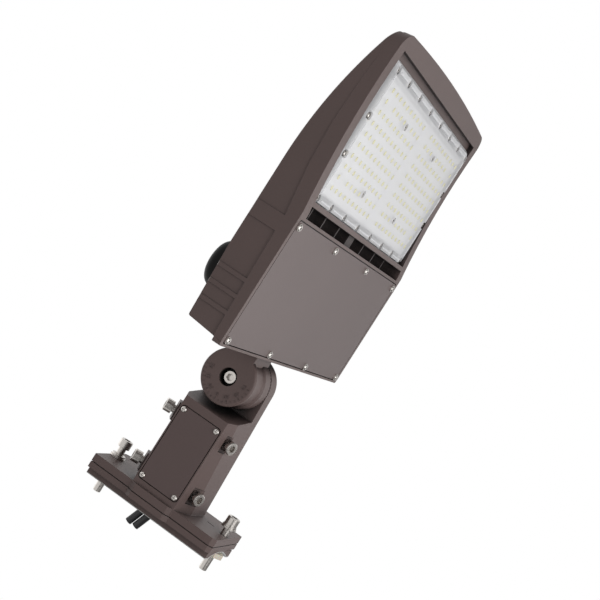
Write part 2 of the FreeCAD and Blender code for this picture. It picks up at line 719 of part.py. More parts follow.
def arm_body(teeth):
    casting = arm_casting()
    inner = "(tenon_radius + 2)"
    boss = group("clamp_boss", [block("clamp_boss_block", "-clamp_boss_half", "clamp_boss_half",
                                      "-clamp_pocket_wide", "clamp_pocket_wide", inner, "clamp_boss_top")])
    bosses = [at_clamp(boss, row, True) for row in CLAMP_ROWS]
    solid = fuse("arm_with_bosses", [casting] + bosses + [copy_at(teeth, "pivot_x", "ear_near", "0")])
    hole = cylinder("clamp_hole", "m10_radius + running_fit", "2*tenon_radius")
    room = block("clamp_room", "-clamp_pocket_half", "clamp_pocket_half", "-clamp_pocket_wide",
                 "clamp_pocket_wide", "clamp_pocket_floor", "clamp_pocket_floor + tenon_radius")
    loose = group("clamp_loose_cut", [hole])
    driven = group("clamp_driven_cut", [room])
    tools = [at_clamp(loose, row, upper) for row in CLAMP_ROWS for upper in (True, False)]
    tools += [at_clamp(driven, row, False) for row in CLAMP_ROWS]
    return finish(cut("arm_body", solid, group("clamp_cuts", [fuse("clamp_tools", tools)])), "arm_body")


def arm_cover():
    body = new_body("arm_cover")
    plate = rounded("arm_cover_x0", arm_cover_x1, "-arm_cover_half", "arm_cover_half", "arm_cover_corner")
    holes = [(x, z, "m4_radius + loose_fit") for x, z in ARM_SCREWS]
    pad(body, "Y", "-arm_near", "-arm_near + arm_cover_thick", [plate], holes)
    return finish(body, "arm_cover")


def arm_cover_gasket():
    body = new_body("arm_cover_gasket")
    plate = rounded("arm_cover_x0", arm_cover_x1, "-arm_cover_half", "arm_cover_half", "arm_cover_corner")
    inside = rectangle("arm_cover_x0 + arm_gasket_wide", "%s - arm_gasket_wide" % arm_cover_x1,
                       "-arm_cover_half + arm_gasket_wide", "arm_cover_half - arm_gasket_wide")
    holes = [(x, z, "m4_radius + loose_fit") for x, z in ARM_SCREWS]
    pad(body, "Y", "-arm_near + arm_cover_thick", arm_recess_floor, [plate, inside], holes)
    return finish(body, "arm_cover_gasket")


def arm_cover_screws(screw):
    copies = [copy_at(screw, x, "-arm_near", z, HEAD_TO_NEAR) for x, z in ARM_SCREWS]
    return finish(group("arm_cover_screws", copies), "arm_cover_screws")


def tenon_bolts():
    bolt = socket_bolt("tenon_bolt", "clamp_under_head")
    raised = group("loose_bolt", [copy_at(bolt, "0", "0", "clamp_boss_top + clamp_loose_gap")])
    driven = group("driven_bolt", [copy_at(bolt, "0", "0", "clamp_pocket_floor + clamp_drive_gap")])
    copies = [at_clamp(raised, row, True) for row in CLAMP_ROWS]
    copies += [at_clamp(driven, row, False) for row in CLAMP_ROWS]
    return finish(group("tenon_bolts", copies), "tenon_bolts")


# ---------------------------------------------------------------- bolts through the flange

mount_seat = "(%s + mount_bolt_lift)" % flange_face


def mount_bolts():
    bolt = socket_bolt("mount_bolt", "mount_bolt_under_head", mount_seat)
    copies = [copy_at(bolt, mount_seat, "0", row, HEAD_TO_X) for row in MOUNT_ROWS]
    return finish(group("mount_bolts", copies), "mount_bolts")


def mount_washers():
    """The lower pair hangs under its bolt's head, the upper pair lies on the flange."""
    lower, upper = MOUNT_ROWS
    flat = washer("flat_washer", "m10_washer_radius", "m10_washer_thick")
    sprung = washer("spring_washer", "spring_washer_radius", "spring_washer_thick")
    slit = block("spring_slit", "0", "spring_washer_radius + 1", "-spring_slit/2", "spring_slit/2",
                 "-1", "spring_washer_thick + 1")
    split = cut("split_washer", sprung, slit)
    under = "(%s - spring_washer_thick)" % mount_seat
    flats = [copy_at(flat, flange_face, "0", upper, HEAD_TO_X),
             copy_at(flat, "%s - m10_washer_thick" % under, "0", lower, HEAD_TO_X)]
    springs = [copy_at(split, "%s + m10_washer_thick" % flange_face, "0", upper, HEAD_TO_X),
               copy_at(split, under, "0", lower, HEAD_TO_X)]
    finish(group("flat_washers", flats), "flat_washers")
    finish(group("spring_washers", springs), "spring_washers")
    return flat


def retaining_nuts():
    far = "sqrt(pole_radius^2 - arch_half^2)"
    face = "(sqrt(pole_radius^2 - retainer_corner^2) - %s - seat_gap)" % far
    nut = cut("retainer", hexagon("retainer_block", "retainer_corner", "retainer_thick"),
              cylinder("retainer_hole", "m10_radius + running_fit", "retainer_thick"))
    copies = [copy_at(nut, "%s - retainer_thick" % face, "0", row, HEAD_TO_X) for row in MOUNT_ROWS]
    return finish(group("retaining_nuts", copies), "retaining_nuts")


# ---------------------------------------------------------------- pivot hardware

def pivot_hardware(flat):
    seat = "(-arm_near + dial_bore_deep)"
    bolt = socket_bolt("pivot_bolt_master", "arm_far + 1 - %s" % seat)
    finish(group("pivot_bolt", [copy_at(bolt, "pivot_x", "%s - running_fit" % seat, "0", HEAD_TO_NEAR)]),
           "pivot_bolt")
    floor = "(arm_far - ear_bore_deep)"
    finish(group("pivot_washer", [copy_at(flat, "pivot_x", floor, "0", HEAD_TO_FAR)]), "pivot_washer")
    nut = cut("nut", hexagon("nut_block", "m10_nut_corner", "m10_nut_thick"),
              cylinder("nut_hole", "m10_radius + running_fit", "m10_nut_thick"))
    finish(group("pivot_nut", [copy_at(nut, "pivot_x", "%s + m10_washer_thick" % floor, "0", HEAD_TO_FAR)]),
           "pivot_nut")


# ---------------------------------------------------------------- cables

def cable_bung():
    plug = cylinder("cable_bung", "tenon_radius - bung_fit", "bung_thick", "bung_from", "-tenon_y", "0",
                    HEAD_TO_X)
    return finish(plug, "cable_bung")


# middle line of the pair (X, Z), from the bung out through the adaptor
CABLE_ROUTE = [(33, 7.5), (15, 7.5), (-5, 13), (-27, 21.6)]


def cable(name, side):
    """A round cable along straight runs joined by tangent arcs."""
    shift = side * number("cable_side")
    points = [Vector(x, 0, z + shift) for x, z in CABLE_ROUTE]
    edges = []
    start = points[0]
    for before, corner, after in zip(points, points[1:], points[2:]):
        into = (corner - before).normalize()
        out = (after - corner).normalize()
        turn = into.getAngle(out)
        reach = 0.45 * min((corner - before).Length, (after - corner).Length)
        radius = reach / math.tan(turn / 2)
        print("%s bend radius %.0f mm" % (name, radius))
        first = corner - into * reach
        last = corner + out * reach
        middle = corner + (out - into).normalize() * (radius / math.cos(turn / 2) - radius)
        edges.append(Part.LineSegment(start, first).toShape())
        edges.append(Part.Arc(first, middle, last).toShape())
        start = last
    edges.append(Part.LineSegment(start, points[-1]).toShape())
    path = Part.Wire(edges)
    rim = Part.Wire(Part.Circle(points[0], points[1] - points[0], number("cable_radius")).toShape())
    thing = doc.addObject("Part::Feature", name)
    thing.Shape = path.makePipeShell([rim], True, False)
    expected = math.pi * number("cable_radius") ** 2 * path.Length
    print("%s length %.1f mm, volume %.3f of section times length"
          % (name, path.Length, thing.Shape.Volume / expected))
    return finish(thing, name)


# ---------------------------------------------------------------- knuckle head

NECK_SCREWS = [(y, z) for y in ("-arm_near + neck_screw_y", "%s - neck_screw_y" % lip_end)
               for z in ("-neck_low + neck_screw_z", "neck_high - neck_screw_z")]
neck_middle_y = "((%s - arm_near)/2)" % lip_end
neck_middle_z = "((neck_high - neck_low)/2)"


def knuckle_head(teeth):
    body = new_body("knuckle_casting")
    near = "-arm_near"
    seat = "(-arm_near + dial_bore_deep)"
    hole = "m10_radius + running_fit"
    slope = "(barrel_radius - barrel_groove_radius)"
    lathe(body, "Y", [(hole, seat), ("dial_bore_radius", seat), ("dial_bore_radius", near),
                      ("barrel_radius - barrel_edge", near, "barrel_edge"),
                      ("barrel_radius", near + " + barrel_edge"), ("barrel_radius", near + " + barrel_face_thick"),
                      ("barrel_groove_radius", near + " + barrel_face_thick + %s" % slope),
                      ("barrel_groove_radius", "%s - barrel_lip - %s" % (lip_end, slope)),
                      ("barrel_radius", "%s - barrel_lip" % lip_end), ("barrel_radius", lip_end),
                      (hole, lip_end)])
    neck = rectangle("neck_start", "neck_reach", "-neck_low", "neck_high")
    pad(body, "Y", near, lip_end, [neck])
    taps = [(y, z, "m6_radius + running_fit") for y, z in NECK_SCREWS]
    pocket(body, "X", "neck_reach - neck_screw_deep", "neck_reach", [], taps)
    wires = [(neck_middle_y, neck_middle_z, "neck_wire_radius")]
    pocket(body, "X", "neck_reach - neck_wire_deep", "neck_reach", [], wires)
    ring_copy = copy_at(teeth, "0", lip_end, "0", Rotation(Vector(0, 0, 1), 180))
    return finish(fuse("knuckle_head", [body, ring_copy]), "knuckle_head", True)


def neck_outline():
    return rectangle("-arm_near", lip_end, "-neck_low", "neck_high")


def knuckle_gasket():
    body = new_body("knuckle_gasket")
    holes = [(y, z, "m6_radius + loose_fit") for y, z in NECK_SCREWS]
    holes.append((neck_middle_y, neck_middle_z, "neck_wire_radius"))
    pad(body, "X", "neck_reach", neck_seat, [neck_outline()], holes)
    return finish(body, "knuckle_gasket", True)


def knuckle_screws():
    screw = pan_screw("m6_screw", "m6_radius", "m6_head_radius", "m6_head_tall", "m6_long")
    copies = [copy_at(screw, "bay_rear", y, z, HEAD_TO_X) for y, z in NECK_SCREWS]
    return finish(group("knuckle_screws", copies), "knuckle_screws", True)


# ---------------------------------------------------------------- head housing

cover_front = "(cover_rear + cover_length)"
lens_front = "(lens_rear + lens_length)"
COVER_SCREWS = [(x, y) for x in ("cover_screw_rear", "cover_screw_front")
                for size in ("cover_screw_inner", "cover_screw_outer") for y in both(size)]
LENS_SCREWS_REAR = [("lens_screw_rear", y) for size in ("lens_screw_y1", "lens_screw_y2", "lens_screw_y3", "lens_screw_side")
                    for y in both(size)]
LENS_SCREWS_FRONT = [("lens_screw_front", y) for x, y in LENS_SCREWS_REAR]
LENS_SCREWS_SIDE = [(x, y) for x in ("lens_screw_side_x1", "lens_screw_side_x2")
                    for y in both("lens_screw_side")]
LENS_SCREWS_INNER = [(x, y) for x in ("lens_screw_inner_x1", "lens_screw_inner_x2")
                     for y in both("lens_screw_inner_y")]
LENS_SCREWS = LENS_SCREWS_REAR + LENS_SCREWS_FRONT + LENS_SCREWS_SIDE + LENS_SCREWS_INNER
BOARD_SCREWS = [(x, y) for x in ("lens_screw_inner_x1", "lens_screw_inner_x2")
                for y in both("board_screw_y")]
SOCKET_SCREWS = [("socket_x", y) for y in both("socket_screw_y")]
driver_middle_x = "(driver_x + driver_wide/2)"
DRIVER_SCREWS = [(driver_middle_x, "driver_y - driver_ear/2"),
                 (driver_middle_x, "driver_y + driver_length + driver_ear/2")]


def head_plan(rear):
    """Plan outline of the head (X, Y) with a bowed tip."""
    tip = "(head_tip - tip_bow)"
    bow = "((head_half^2 + tip_bow^2)/(2*tip_bow))"
    return [(rear, "-head_half"), (tip, "-head_half", bow), (tip, "head_half"), (rear, "head_half")]


def crown_line(drop):
    """Roof profile (X, Z) from the rear edge to beyond the tip, lowered by a drop."""
    end = "(head_tip + 10)"
    radius = "(crown_radius - (%s))" % drop
    fall = "(sqrt(%s^2 - (%s - crown_flat_to)^2) - crown_radius + crown_top)" % (radius, end)
    return [("head_reach", "crown_rear - (%s)" % drop), ("crown_flat_from", "crown_top - (%s)" % drop),
            ("crown_flat_to", "crown_top - (%s)" % drop, "-" + radius), (end, fall)]


def leaning(edge):
    return abs(edge.tangentAt(edge.FirstParameter).z) > 0.5


def housing_shell(body):
    """Outer form: leaning walls, bowed tip, roof that falls to the tip, rim and rising lower edge."""
    top = "(crown_top + 3)"
    base = pad(body, "Z", "-rim_drop", top, [head_plan("cover_rear")])
    lean = body.newObject("PartDesign::Draft", "housing_lean")
    lean.Base = (base, faces_of(base, lambda face: abs(face.normalAt(0, 0).z) < 0.5))
    bottom = faces_of(base, lambda face: face.normalAt(0, 0).z < -0.5)
    lean.NeutralPlane = (base, bottom)
    bind(lean, "Angle", "wall_lean")
    middle = number("(head_tip + cover_rear)/2")
    corners = fillet(body, lean, "tip_corner", lambda edge: leaning(edge) and edge.BoundBox.XMin > middle)
    side = "head_half + 1"
    above = crown_line("0")
    above = above + [(above[-1][0], "crown_top + 10"), ("head_reach", "crown_top + 10")]
    crown = pocket(body, "Y", "-head_half - 1", side, [above])
    inside = number("head_half - 12")
    rear = number("cover_rear + 8")
    front = number("head_tip - 35")

    def on_roof_edge(edge):
        box = edge.BoundBox
        outer = box.YMin > inside or box.YMax < -inside or box.XMax < rear or box.XMin > front
        return outer and box.ZMin >= number("-rim_drop + 1")

    rounding = fillet(body, crown, "edge_round", on_roof_edge)
    rim_top = "(-rim_drop + rear_rim_tall)"
    half = "(head_half - rear_rim_tall * tan(wall_lean * 1 deg))"
    pad(body, "Z", "-rim_drop", rim_top,
        [rounded("head_reach", "bay_rear + rear_rim_tall", "-" + half, half, "edge_round")])
    end = "(head_tip + 10)"
    under = [("arch_from", "-rim_drop - 1"), (end, "-rim_drop - 1"),
             (end, "-rim_drop + tip_rise", "arch_radius"), ("arch_from", "-rim_drop")]
    pocket(body, "Y", "-head_half - 1", side, [under])
    return rounding


def housing_inside(body):
    """Driver bay, lens bay, vents, fins and the seats of neck and socket."""
    seat = rectangle("-arm_near - edge_round", "%s + edge_round" % lip_end, "-neck_low", "neck_high + 1")
    pad(body, "X", neck_seat, "bay_rear", [seat])
    recess = rounded("cover_rear - cover_gap", "%s + cover_gap" % cover_front, "-cover_half - cover_gap",
                     "cover_half + cover_gap", "edge_round")
    pocket(body, "Z", "-rim_drop", cover_ledge, [recess])
    pocket(body, "Z", cover_ledge, "bay_roof", [rectangle("bay_rear", "bay_front", "-bay_half", "bay_half")])
    front_screws = [(x, y, "cover_boss_radius") for x, y in COVER_SCREWS if x == "cover_screw_front"]
    pad(body, "Z", cover_ledge, "bay_roof + 1", [], front_screws)
    taps = [(x, y, "m5_radius + running_fit") for x, y in COVER_SCREWS]
    pocket(body, "Z", cover_ledge, "-rim_drop + m5_long + 1", [], taps)
    bay = rectangle("lens_bay_rear", "lens_bay_front", "-lens_bay_half", "lens_bay_half")
    pocket(body, "Z", "-rim_drop", "-lens_bay_floor", [bay])
    taps = [(x, y, "m4_radius + running_fit") for x, y in LENS_SCREWS + BOARD_SCREWS]
    pocket(body, "Z", "-lens_bay_floor", "-lens_bay_floor + lens_screw_hole", [], taps)
    trough = rectangle("vent_rear", "vent_front", "-vent_half", "vent_half")
    pocket(body, "Z", "-rim_drop", "-vent_rib_drop", [trough])
    pad(body, "Z", "bay_roof + 1", "socket_seat_top", [], [("socket_x", "0", "socket_seat_radius")])
    wires = [("socket_x", "0", "socket_wire_radius")]
    pocket(body, "Z", "bay_roof", "socket_seat_top", [], wires)
    screws = [(x, y, "m4_radius + loose_fit") for x, y in SOCKET_SCREWS]
    pocket(body, "Z", "bay_roof", "socket_seat_top", [], screws)
    screws = [(x, y, "m4_radius + running_fit") for x, y in DRIVER_SCREWS]
    pocket(body, "Z", "bay_roof", "bay_roof - driver_ear_thick + driver_screw_long + 0.5", [], screws)
    screws = [(y, z, "m6_radius + loose_fit") for y, z in NECK_SCREWS]
    screws.append((neck_middle_y, neck_middle_z, "neck_wire_radius"))
    pocket(body, "X", neck_seat, "bay_rear", [], screws)


def vent_windows():
    """Outlines (X, Y) of the openings between the ribs of the vent trough."""
    edges = ["vent_middle_wide/2"]
    for rib in ("vent_rib_y1", "vent_rib_y2", "vent_rib_y3"):
        edges += ["%s - vent_rib_wide/2" % rib, "%s + vent_rib_wide/2" % rib]
    edges.append("vent_half")
    outlines = []
    for near, far in zip(edges[::2], edges[1::2]):
        outlines.append(rectangle("vent_rear", "vent_front", near, far))
        outlines.append(rectangle("vent_rear", "vent_front", "-(%s)" % far, "-(%s)" % near))
    return outlines


def housing_top(body):
    """Cooling fins along the head, below the side walls, fed with air through the vent windows."""
    lowered = crown_line("fin_drop")
    floor = [("vent_rear", "crown_top + 10"), ("vent_rear", "crown_top - fin_drop"), lowered[2],
             lowered[3], (lowered[3][0], "crown_top + 10")]
    basin = pocket(body, "Y", "-fin_field_half", "fin_field_half", [floor])
    count = int(number("fin_field_half / fin_pitch")) - 1
    channels = []
    for step in range(-count - 1, count + 1):
        y0 = "%d*fin_pitch + fin_thick/2" % step
        y1 = "%d*fin_pitch - fin_thick/2" % (step + 1)
        if step == -count - 1:
            y0 = "-fin_field_half"
        if step == count:
            y1 = "fin_field_half"
        channels.append(rectangle("vent_front", "fin_field_end", y0, y1))
    pocket(body, "Z", "-fin_deck", "crown_top + 1", channels)
    pocket(body, "Z", "-vent_rib_drop", "crown_top + 1", vent_windows())
    return basin


def relief_panels():
    """What is cut from both side walls: shallow panels that follow the lean of the wall."""
    panels = new_body("relief_panels")
    top = "crown_top + 10"
    slope = "((relief_low_rear - relief_low_front)/(band_from - rib_first))"
    outlines = []
    edges = ["cover_rear - rear_step", "rib_first"]
    for rib in range(3):
        edges += ["rib_first + %d*rib_pitch + rib_wide" % rib]
        edges += ["rib_first + %d*rib_pitch" % (rib + 1)] if rib < 2 else ["band_from"]
    for start, end in zip(edges[::2], edges[1::2]):
        low0 = "-relief_low_front - (band_from - (%s))*%s" % (start, slope)
        low1 = "-relief_low_front - (band_from - (%s))*%s" % (end, slope)
        outlines.append([(start, low0), (end, low1), (end, top), (start, top)])
    past = "head_half + 1"
    pad(panels, "Y", "-" + past, past, outlines)
    rear_core = new_body("relief_core_rear")
    run = "(rim_drop + crown_top + 10)*tan(wall_lean * 1 deg)"
    core = [("-(head_half - relief_deep)", "-rim_drop"), ("head_half - relief_deep", "-rim_drop"),
            ("head_half - relief_deep - %s" % run, top), ("-(head_half - relief_deep - %s)" % run, top)]
    pad(rear_core, "X", "0", "band_from + band_wide/2", [core])
    rear = cut("relief_rear", panels, rear_core)
    long_panel = new_body("relief_long")
    start = "(band_from + band_wide)"
    bow = [(start, "-relief_low_front"), (start, top), ("long_panel_to", top),
           ("long_panel_to", "-long_panel_top - 6"), ("long_panel_to - 60", "-long_panel_top - 1.5"),
           ("long_panel_to - 110", "-long_panel_top"), (start + " + 58", "-long_panel_top - 3")]
    pad(long_panel, "Y", "-" + past, past, [bow])
    long_core = new_body("relief_core_long")
    first = new_sketch(long_core, "X", "band_from")
    draw(first, core)
    last = new_sketch(long_core, "X", "long_panel_to + 2")
    half = "(head_half + 0.1)"
    draw(last, [("-" + half, "-rim_drop"), (half, "-rim_drop"), ("%s - %s" % (half, run), top),
                ("-(%s - %s)" % (half, run), top)])
    loft = long_core.newObject("PartDesign::AdditiveLoft", "relief_core_loft")
    loft.Profile = first
    loft.Sections = [last]
    loft.Ruled = True
    front = cut("relief_front", long_panel, long_core)
    return fuse("relief", [rear, front])


def housing():
    body = new_body("housing_casting")
    housing_shell(body)
    housing_inside(body)
    housing_top(body)
    return finish(cut("housing", body, relief_panels()), "housing", True)


# ---------------------------------------------------------------- driver bay

def driver_cover():
    body = new_body("driver_cover")
    plate = rounded("cover_rear", cover_front, "-cover_half", "cover_half", "edge_round")
    holes = [(x, y, "m5_radius + loose_fit") for x, y in COVER_SCREWS]
    pad(body, "Z", "-rim_drop", "-rim_drop + cover_thick", [plate], holes)
    return finish(body, "driver_cover", True)


def driver_cover_gasket():
    body = new_body("driver_cover_gasket")
    plate = rounded("cover_rear", cover_front, "-cover_half", "cover_half", "edge_round")
    inside = rectangle("cover_rear + cover_gasket_wide", "%s - cover_gasket_wide" % cover_front,
                       "-cover_half + cover_gasket_wide", "cover_half - cover_gasket_wide")
    holes = [(x, y, "m5_radius + loose_fit") for x, y in COVER_SCREWS]
    pad(body, "Z", "-rim_drop + cover_thick", cover_ledge, [plate, inside], holes)
    return finish(body, "driver_cover_gasket", True)


def driver_cover_screws():
    screw = pan_screw("m5_screw", "m5_radius", "m5_head_radius", "m5_head_tall", "m5_long")
    copies = [copy_at(screw, x, y, "-rim_drop", HEAD_DOWN) for x, y in COVER_SCREWS]
    return finish(group("driver_cover_screws", copies), "driver_cover_screws", True)


def led_driver():
    x1 = "(driver_x + driver_wide)"
    y1 = "(driver_y + driver_length)"
    case = block("driver_case", "driver_x", x1, "driver_y", y1, "bay_roof - driver_tall", "bay_roof")
    ears = block("driver_ears", "driver_x + driver_ear", "%s - driver_ear" % x1, "driver_y - driver_ear",
                 "%s + driver_ear" % y1, "bay_roof - driver_ear_thick", "bay_roof")
    holes = [cylinder("driver_ear_hole%d" % i, "m4_radius + loose_fit", "driver_ear_thick", x, y,
                      "bay_roof - driver_ear_thick") for i, (x, y) in enumerate(DRIVER_SCREWS)]
    whole = fuse("driver_with_ears", [case, ears])
    return finish(cut("led_driver", whole, group("driver_ear_holes", holes)), "led_driver", True)


def driver_screws():
    screw = pan_screw("driver_screw", "m4_radius", "m4_head_radius", "m4_head_tall", "driver_screw_long")
    copies = [copy_at(screw, x, y, "bay_roof - driver_ear_thick", HEAD_DOWN) for x, y in DRIVER_SCREWS]
    return finish(group("driver_screws", copies), "driver_screws", True)


def surge_protector():
    thing = block("surge_block", "surge_x", "surge_x + surge_wide", "-surge_y", "-surge_y + surge_long",
                  "bay_roof - surge_tall", "bay_roof")
    return finish(group("surge_protector_piece", [thing]), "surge_protector", True)


def terminal_block():
    thing = block("terminal_body", "terminal_x", "terminal_x + terminal_wide", "-terminal_y",
                  "-terminal_y + terminal_long", "bay_roof - terminal_tall", "bay_roof")
    return finish(group("terminal_block_piece", [thing]), "terminal_block", True)


# ---------------------------------------------------------------- light engine

def led_board(name, side):
    """A board on the lens bay's floor, on one side of the middle (-1 near, 1 far)."""
    body = new_body(name)
    edges = ["board_inner", "board_inner + board_wide"]
    if side < 0:
        edges = ["-(%s)" % edges[1], "-board_inner"]
    plate = rectangle("board_rear", "board_rear + board_length", edges[0], edges[1])
    sign = "-" if side < 0 else ""
    holes = [(x, y, "lens_post_radius + loose_fit") for x, y in LENS_SCREWS_INNER
             if number(y) * side > 0]
    holes += [(x, y, "m4_radius + loose_fit") for x, y in BOARD_SCREWS if number(y) * side > 0]
    pad(body, "Z", board_face, "-lens_bay_floor", [plate], holes)
    return finish(body, name, True)


def board_screws():
    screw = pan_screw("board_screw", "m4_radius", "m4_head_radius", "m4_head_tall", "board_screw_long")
    copies = [copy_at(screw, x, y, board_face, HEAD_DOWN) for x, y in BOARD_SCREWS]
    return finish(group("board_screws", copies), "board_screws", True)


def led_chips():
    chip = group("chip", [block("chip_block", "-chip_side/2", "chip_side/2", "-chip_side/2", "chip_side/2",
                                "-chip_tall", "0")])
    copies = []
    for row in range(10):
        for column in range(10):
            if row in (1, 8) and column in (3, 8):
                continue
            for sign in ("", "-"):
                x = "chip_first_x + %d*chip_pitch_x" % row
                y = "%s(chip_first_y + %d*chip_pitch_y)" % (sign, column)
                copies.append(copy_at(chip, x, y, board_face))
    return finish(group("led_chips", copies), "led_chips", True)


def lens_outline(spread, rear):
    """Lens plan with cut corners."""
    x0 = "(lens_rear - %s)" % rear
    x1 = "(%s + %s)" % (lens_front, spread)
    y = "(lens_half + %s)" % spread
    c = "lens_corner"
    return [("%s + %s" % (x0, c), "-" + y), ("%s - %s" % (x1, c), "-" + y), (x1, "-%s + %s" % (y, c)),
            (x1, "%s - %s" % (y, c)), ("%s - %s" % (x1, c), y), ("%s + %s" % (x0, c), y),
            (x0, "%s - %s" % (y, c)), (x0, "-%s + %s" % (y, c))]


def lens_cavity():
    return rectangle("lens_rear + lens_edge_solid", "%s - lens_edge_solid" % lens_front,
                     "-lens_half + lens_edge_solid", "lens_half - lens_edge_solid")


def lens_notches():
    """U slots round the edge screws, open outwards."""
    r = "lens_notch_wide/2"
    far = "lens_notch_reach"
    outlines = []
    for x, y in LENS_SCREWS_REAR:
        outlines.append([("%s - %s" % (x, far), "%s - %s" % (y, r)), (x, "%s - %s" % (y, r), r),
                         (x, "%s + %s" % (y, r)), ("%s - %s" % (x, far), "%s + %s" % (y, r))])
    for x, y in LENS_SCREWS_FRONT:
        outlines.append([("%s + %s" % (x, far), "%s + %s" % (y, r)), (x, "%s + %s" % (y, r), r),
                         (x, "%s - %s" % (y, r)), ("%s + %s" % (x, far), "%s - %s" % (y, r))])
    for x, y in LENS_SCREWS_SIDE:
        if y.startswith("-"):
            outlines.append([("%s + %s" % (x, r), "%s - %s" % (y, far)), ("%s + %s" % (x, r), y, r),
                             ("%s - %s" % (x, r), y), ("%s - %s" % (x, r), "%s - %s" % (y, far))])
        else:
            outlines.append([("%s - %s" % (x, r), "%s + %s" % (y, far)), ("%s - %s" % (x, r), y, r),
                             ("%s + %s" % (x, r), y), ("%s + %s" % (x, r), "%s + %s" % (y, far))])
    return outlines


def lens_panel():
    body = new_body("lens_panel")
    face = new_sketch(body, "Z", "-lens_face_drop")
    draw(face, lens_outline("0", "0"))
    foot = new_sketch(body, "Z", lens_seat)
    draw(foot, lens_outline("lens_skirt", "lens_skirt_rear"))
    loft = body.newObject("PartDesign::AdditiveLoft", "lens_skirted_form")
    loft.Profile = face
    loft.Sections = [foot]
    loft.Ruled = True
    roof = "(-lens_face_drop + lens_skin)"
    pocket(body, "Z", roof, lens_seat, [lens_cavity()])
    posts = [(x, y, "lens_post_radius") for x, y in LENS_SCREWS_INNER]
    pad(body, "Z", roof, "-lens_bay_floor - seat_gap", [], posts)
    shelf = "(-lens_face_drop + lens_notch_deep)"
    wells = [(x, y, "lens_notch_wide/2") for x, y in LENS_SCREWS_INNER]
    pocket(body, "Z", "-lens_face_drop", shelf, lens_notches(), wells)
    holes = [(x, y, "m4_radius + loose_fit") for x, y in LENS_SCREWS]
    pocket(body, "Z", "-lens_face_drop", "-lens_bay_floor", [], holes)
    return finish(body, "lens_panel", True)


def lens_gasket():
    body = new_body("lens_gasket")
    holes = [(x, y, "m4_radius + loose_fit") for x, y in LENS_SCREWS if (x, y) not in LENS_SCREWS_INNER]
    pad(body, "Z", lens_seat, "-lens_bay_floor", [lens_outline("0", "0"), lens_cavity()], holes)
    return finish(body, "lens_gasket", True)


def lens_screws():
    screw = pan_screw("m4_screw", "m4_radius", "m4_head_radius", "m4_head_tall", "m4_long")
    shelf = "(-lens_face_drop + lens_notch_deep)"
    copies = [copy_at(screw, x, y, shelf, HEAD_DOWN) for x, y in LENS_SCREWS]
    finish(group("lens_screws", copies), "lens_screws", True)
    return screw


# ---------------------------------------------------------------- twist-lock socket and shorting cap

def socket_gasket():
    body = new_body("socket_gasket")
    holes = [("0", y, "m4_radius + loose_fit") for x, y in SOCKET_SCREWS]
    rings = [("0", "0", "socket_foot_radius"), ("0", "0", "socket_wire_radius")] + holes
    pad(body, "Z", "socket_seat_top", socket_base, [], rings)
    finish(body, "socket_gasket")
    return place(body, "pivot_x + socket_x", "0", "0")


def photocell_socket():
    body = new_body("photocell_socket")
    top = "(%s + socket_tall)" % socket_base
    lathe(body, "Z", [("0", socket_base), ("socket_foot_radius", socket_base),
                      ("socket_foot_radius", "%s + socket_foot_tall" % socket_base),
                      ("socket_radius", "%s + socket_foot_tall" % socket_base), ("socket_radius", top),
                      ("0", top)])
    outer = "(sqrt((blade_circle + blade_thick/2)^2 + (blade_wide/2)^2) + blade_slot_gap)"
    inner = "(blade_circle - blade_thick/2 - blade_slot_gap)"
    half = "(atan(blade_wide/2/%s) + 3 deg)" % inner
    last = "(%s + cap_twist * 1 deg)" % half
    slot = [("%s*cos(%s)" % (inner, half), "-%s*sin(%s)" % (inner, half)),
            ("%s*cos(%s)" % (outer, half), "-%s*sin(%s)" % (outer, half), outer),
            ("%s*cos(%s)" % (outer, last), "%s*sin(%s)" % (outer, last)),
            ("%s*cos(%s)" % (inner, last), "%s*sin(%s)" % (inner, last), "-" + inner)]
    first = pocket(body, "Z", "%s - blade_long - seat_gap" % top, top, [slot])
    pattern = body.newObject("PartDesign::PolarPattern", "blade_slots")
    pattern.Originals = [first]
    pattern.Axis = ([f for f in body.Origin.OriginFeatures if f.Role == "Z_Axis"][0], [""])
    pattern.Angle = 360
    pattern.Occurrences = 3
    body.Tip = pattern
    screws = [("0", y, "m4_radius + running_fit") for x, y in SOCKET_SCREWS]
    pocket(body, "Z", socket_base, "%s + 6" % socket_base, [], screws)
    finish(body, "photocell_socket")
    return place(body, "pivot_x + socket_x", "0", "0")


def socket_screws():
    long_screw = pan_screw("socket_screw", "m4_radius", "m4_head_radius", "m4_head_tall",
                           "%s - bay_roof + 5" % socket_base)
    copies = [copy_at(long_screw, x, y, "bay_roof", HEAD_DOWN) for x, y in SOCKET_SCREWS]
    return finish(group("socket_screws", copies), "socket_screws", True)


def shorting_cap():
    body = new_body("shorting_cap")
    top = "(%s + cap_tall)" % cap_base
    lathe(body, "Z", [("0", cap_base), ("cap_radius", cap_base), ("cap_radius", "%s - cap_round" % top, "cap_round"),
                      ("cap_radius - cap_round", top), ("0", top)])
    finish(body, "shorting_cap")
    return place(body, "pivot_x + socket_x", "0", "0")


def cap_blades():
    blade = group("blade", [block("blade_plate", "blade_circle - blade_thick/2", "blade_circle + blade_thick/2",
                                  "-blade_wide/2", "blade_wide/2", "%s - blade_long" % cap_base, cap_base)])
    copies = [copy_at(blade, "0", "0", "0", Rotation(Vector(0, 0, 1), 120 * i)) for i in range(3)]
    finish(group("cap_blades", copies), "cap_blades")
    return place(pieces[-1], "pivot_x + socket_x", "0", "0")


# ---------------------------------------------------------------- assembly

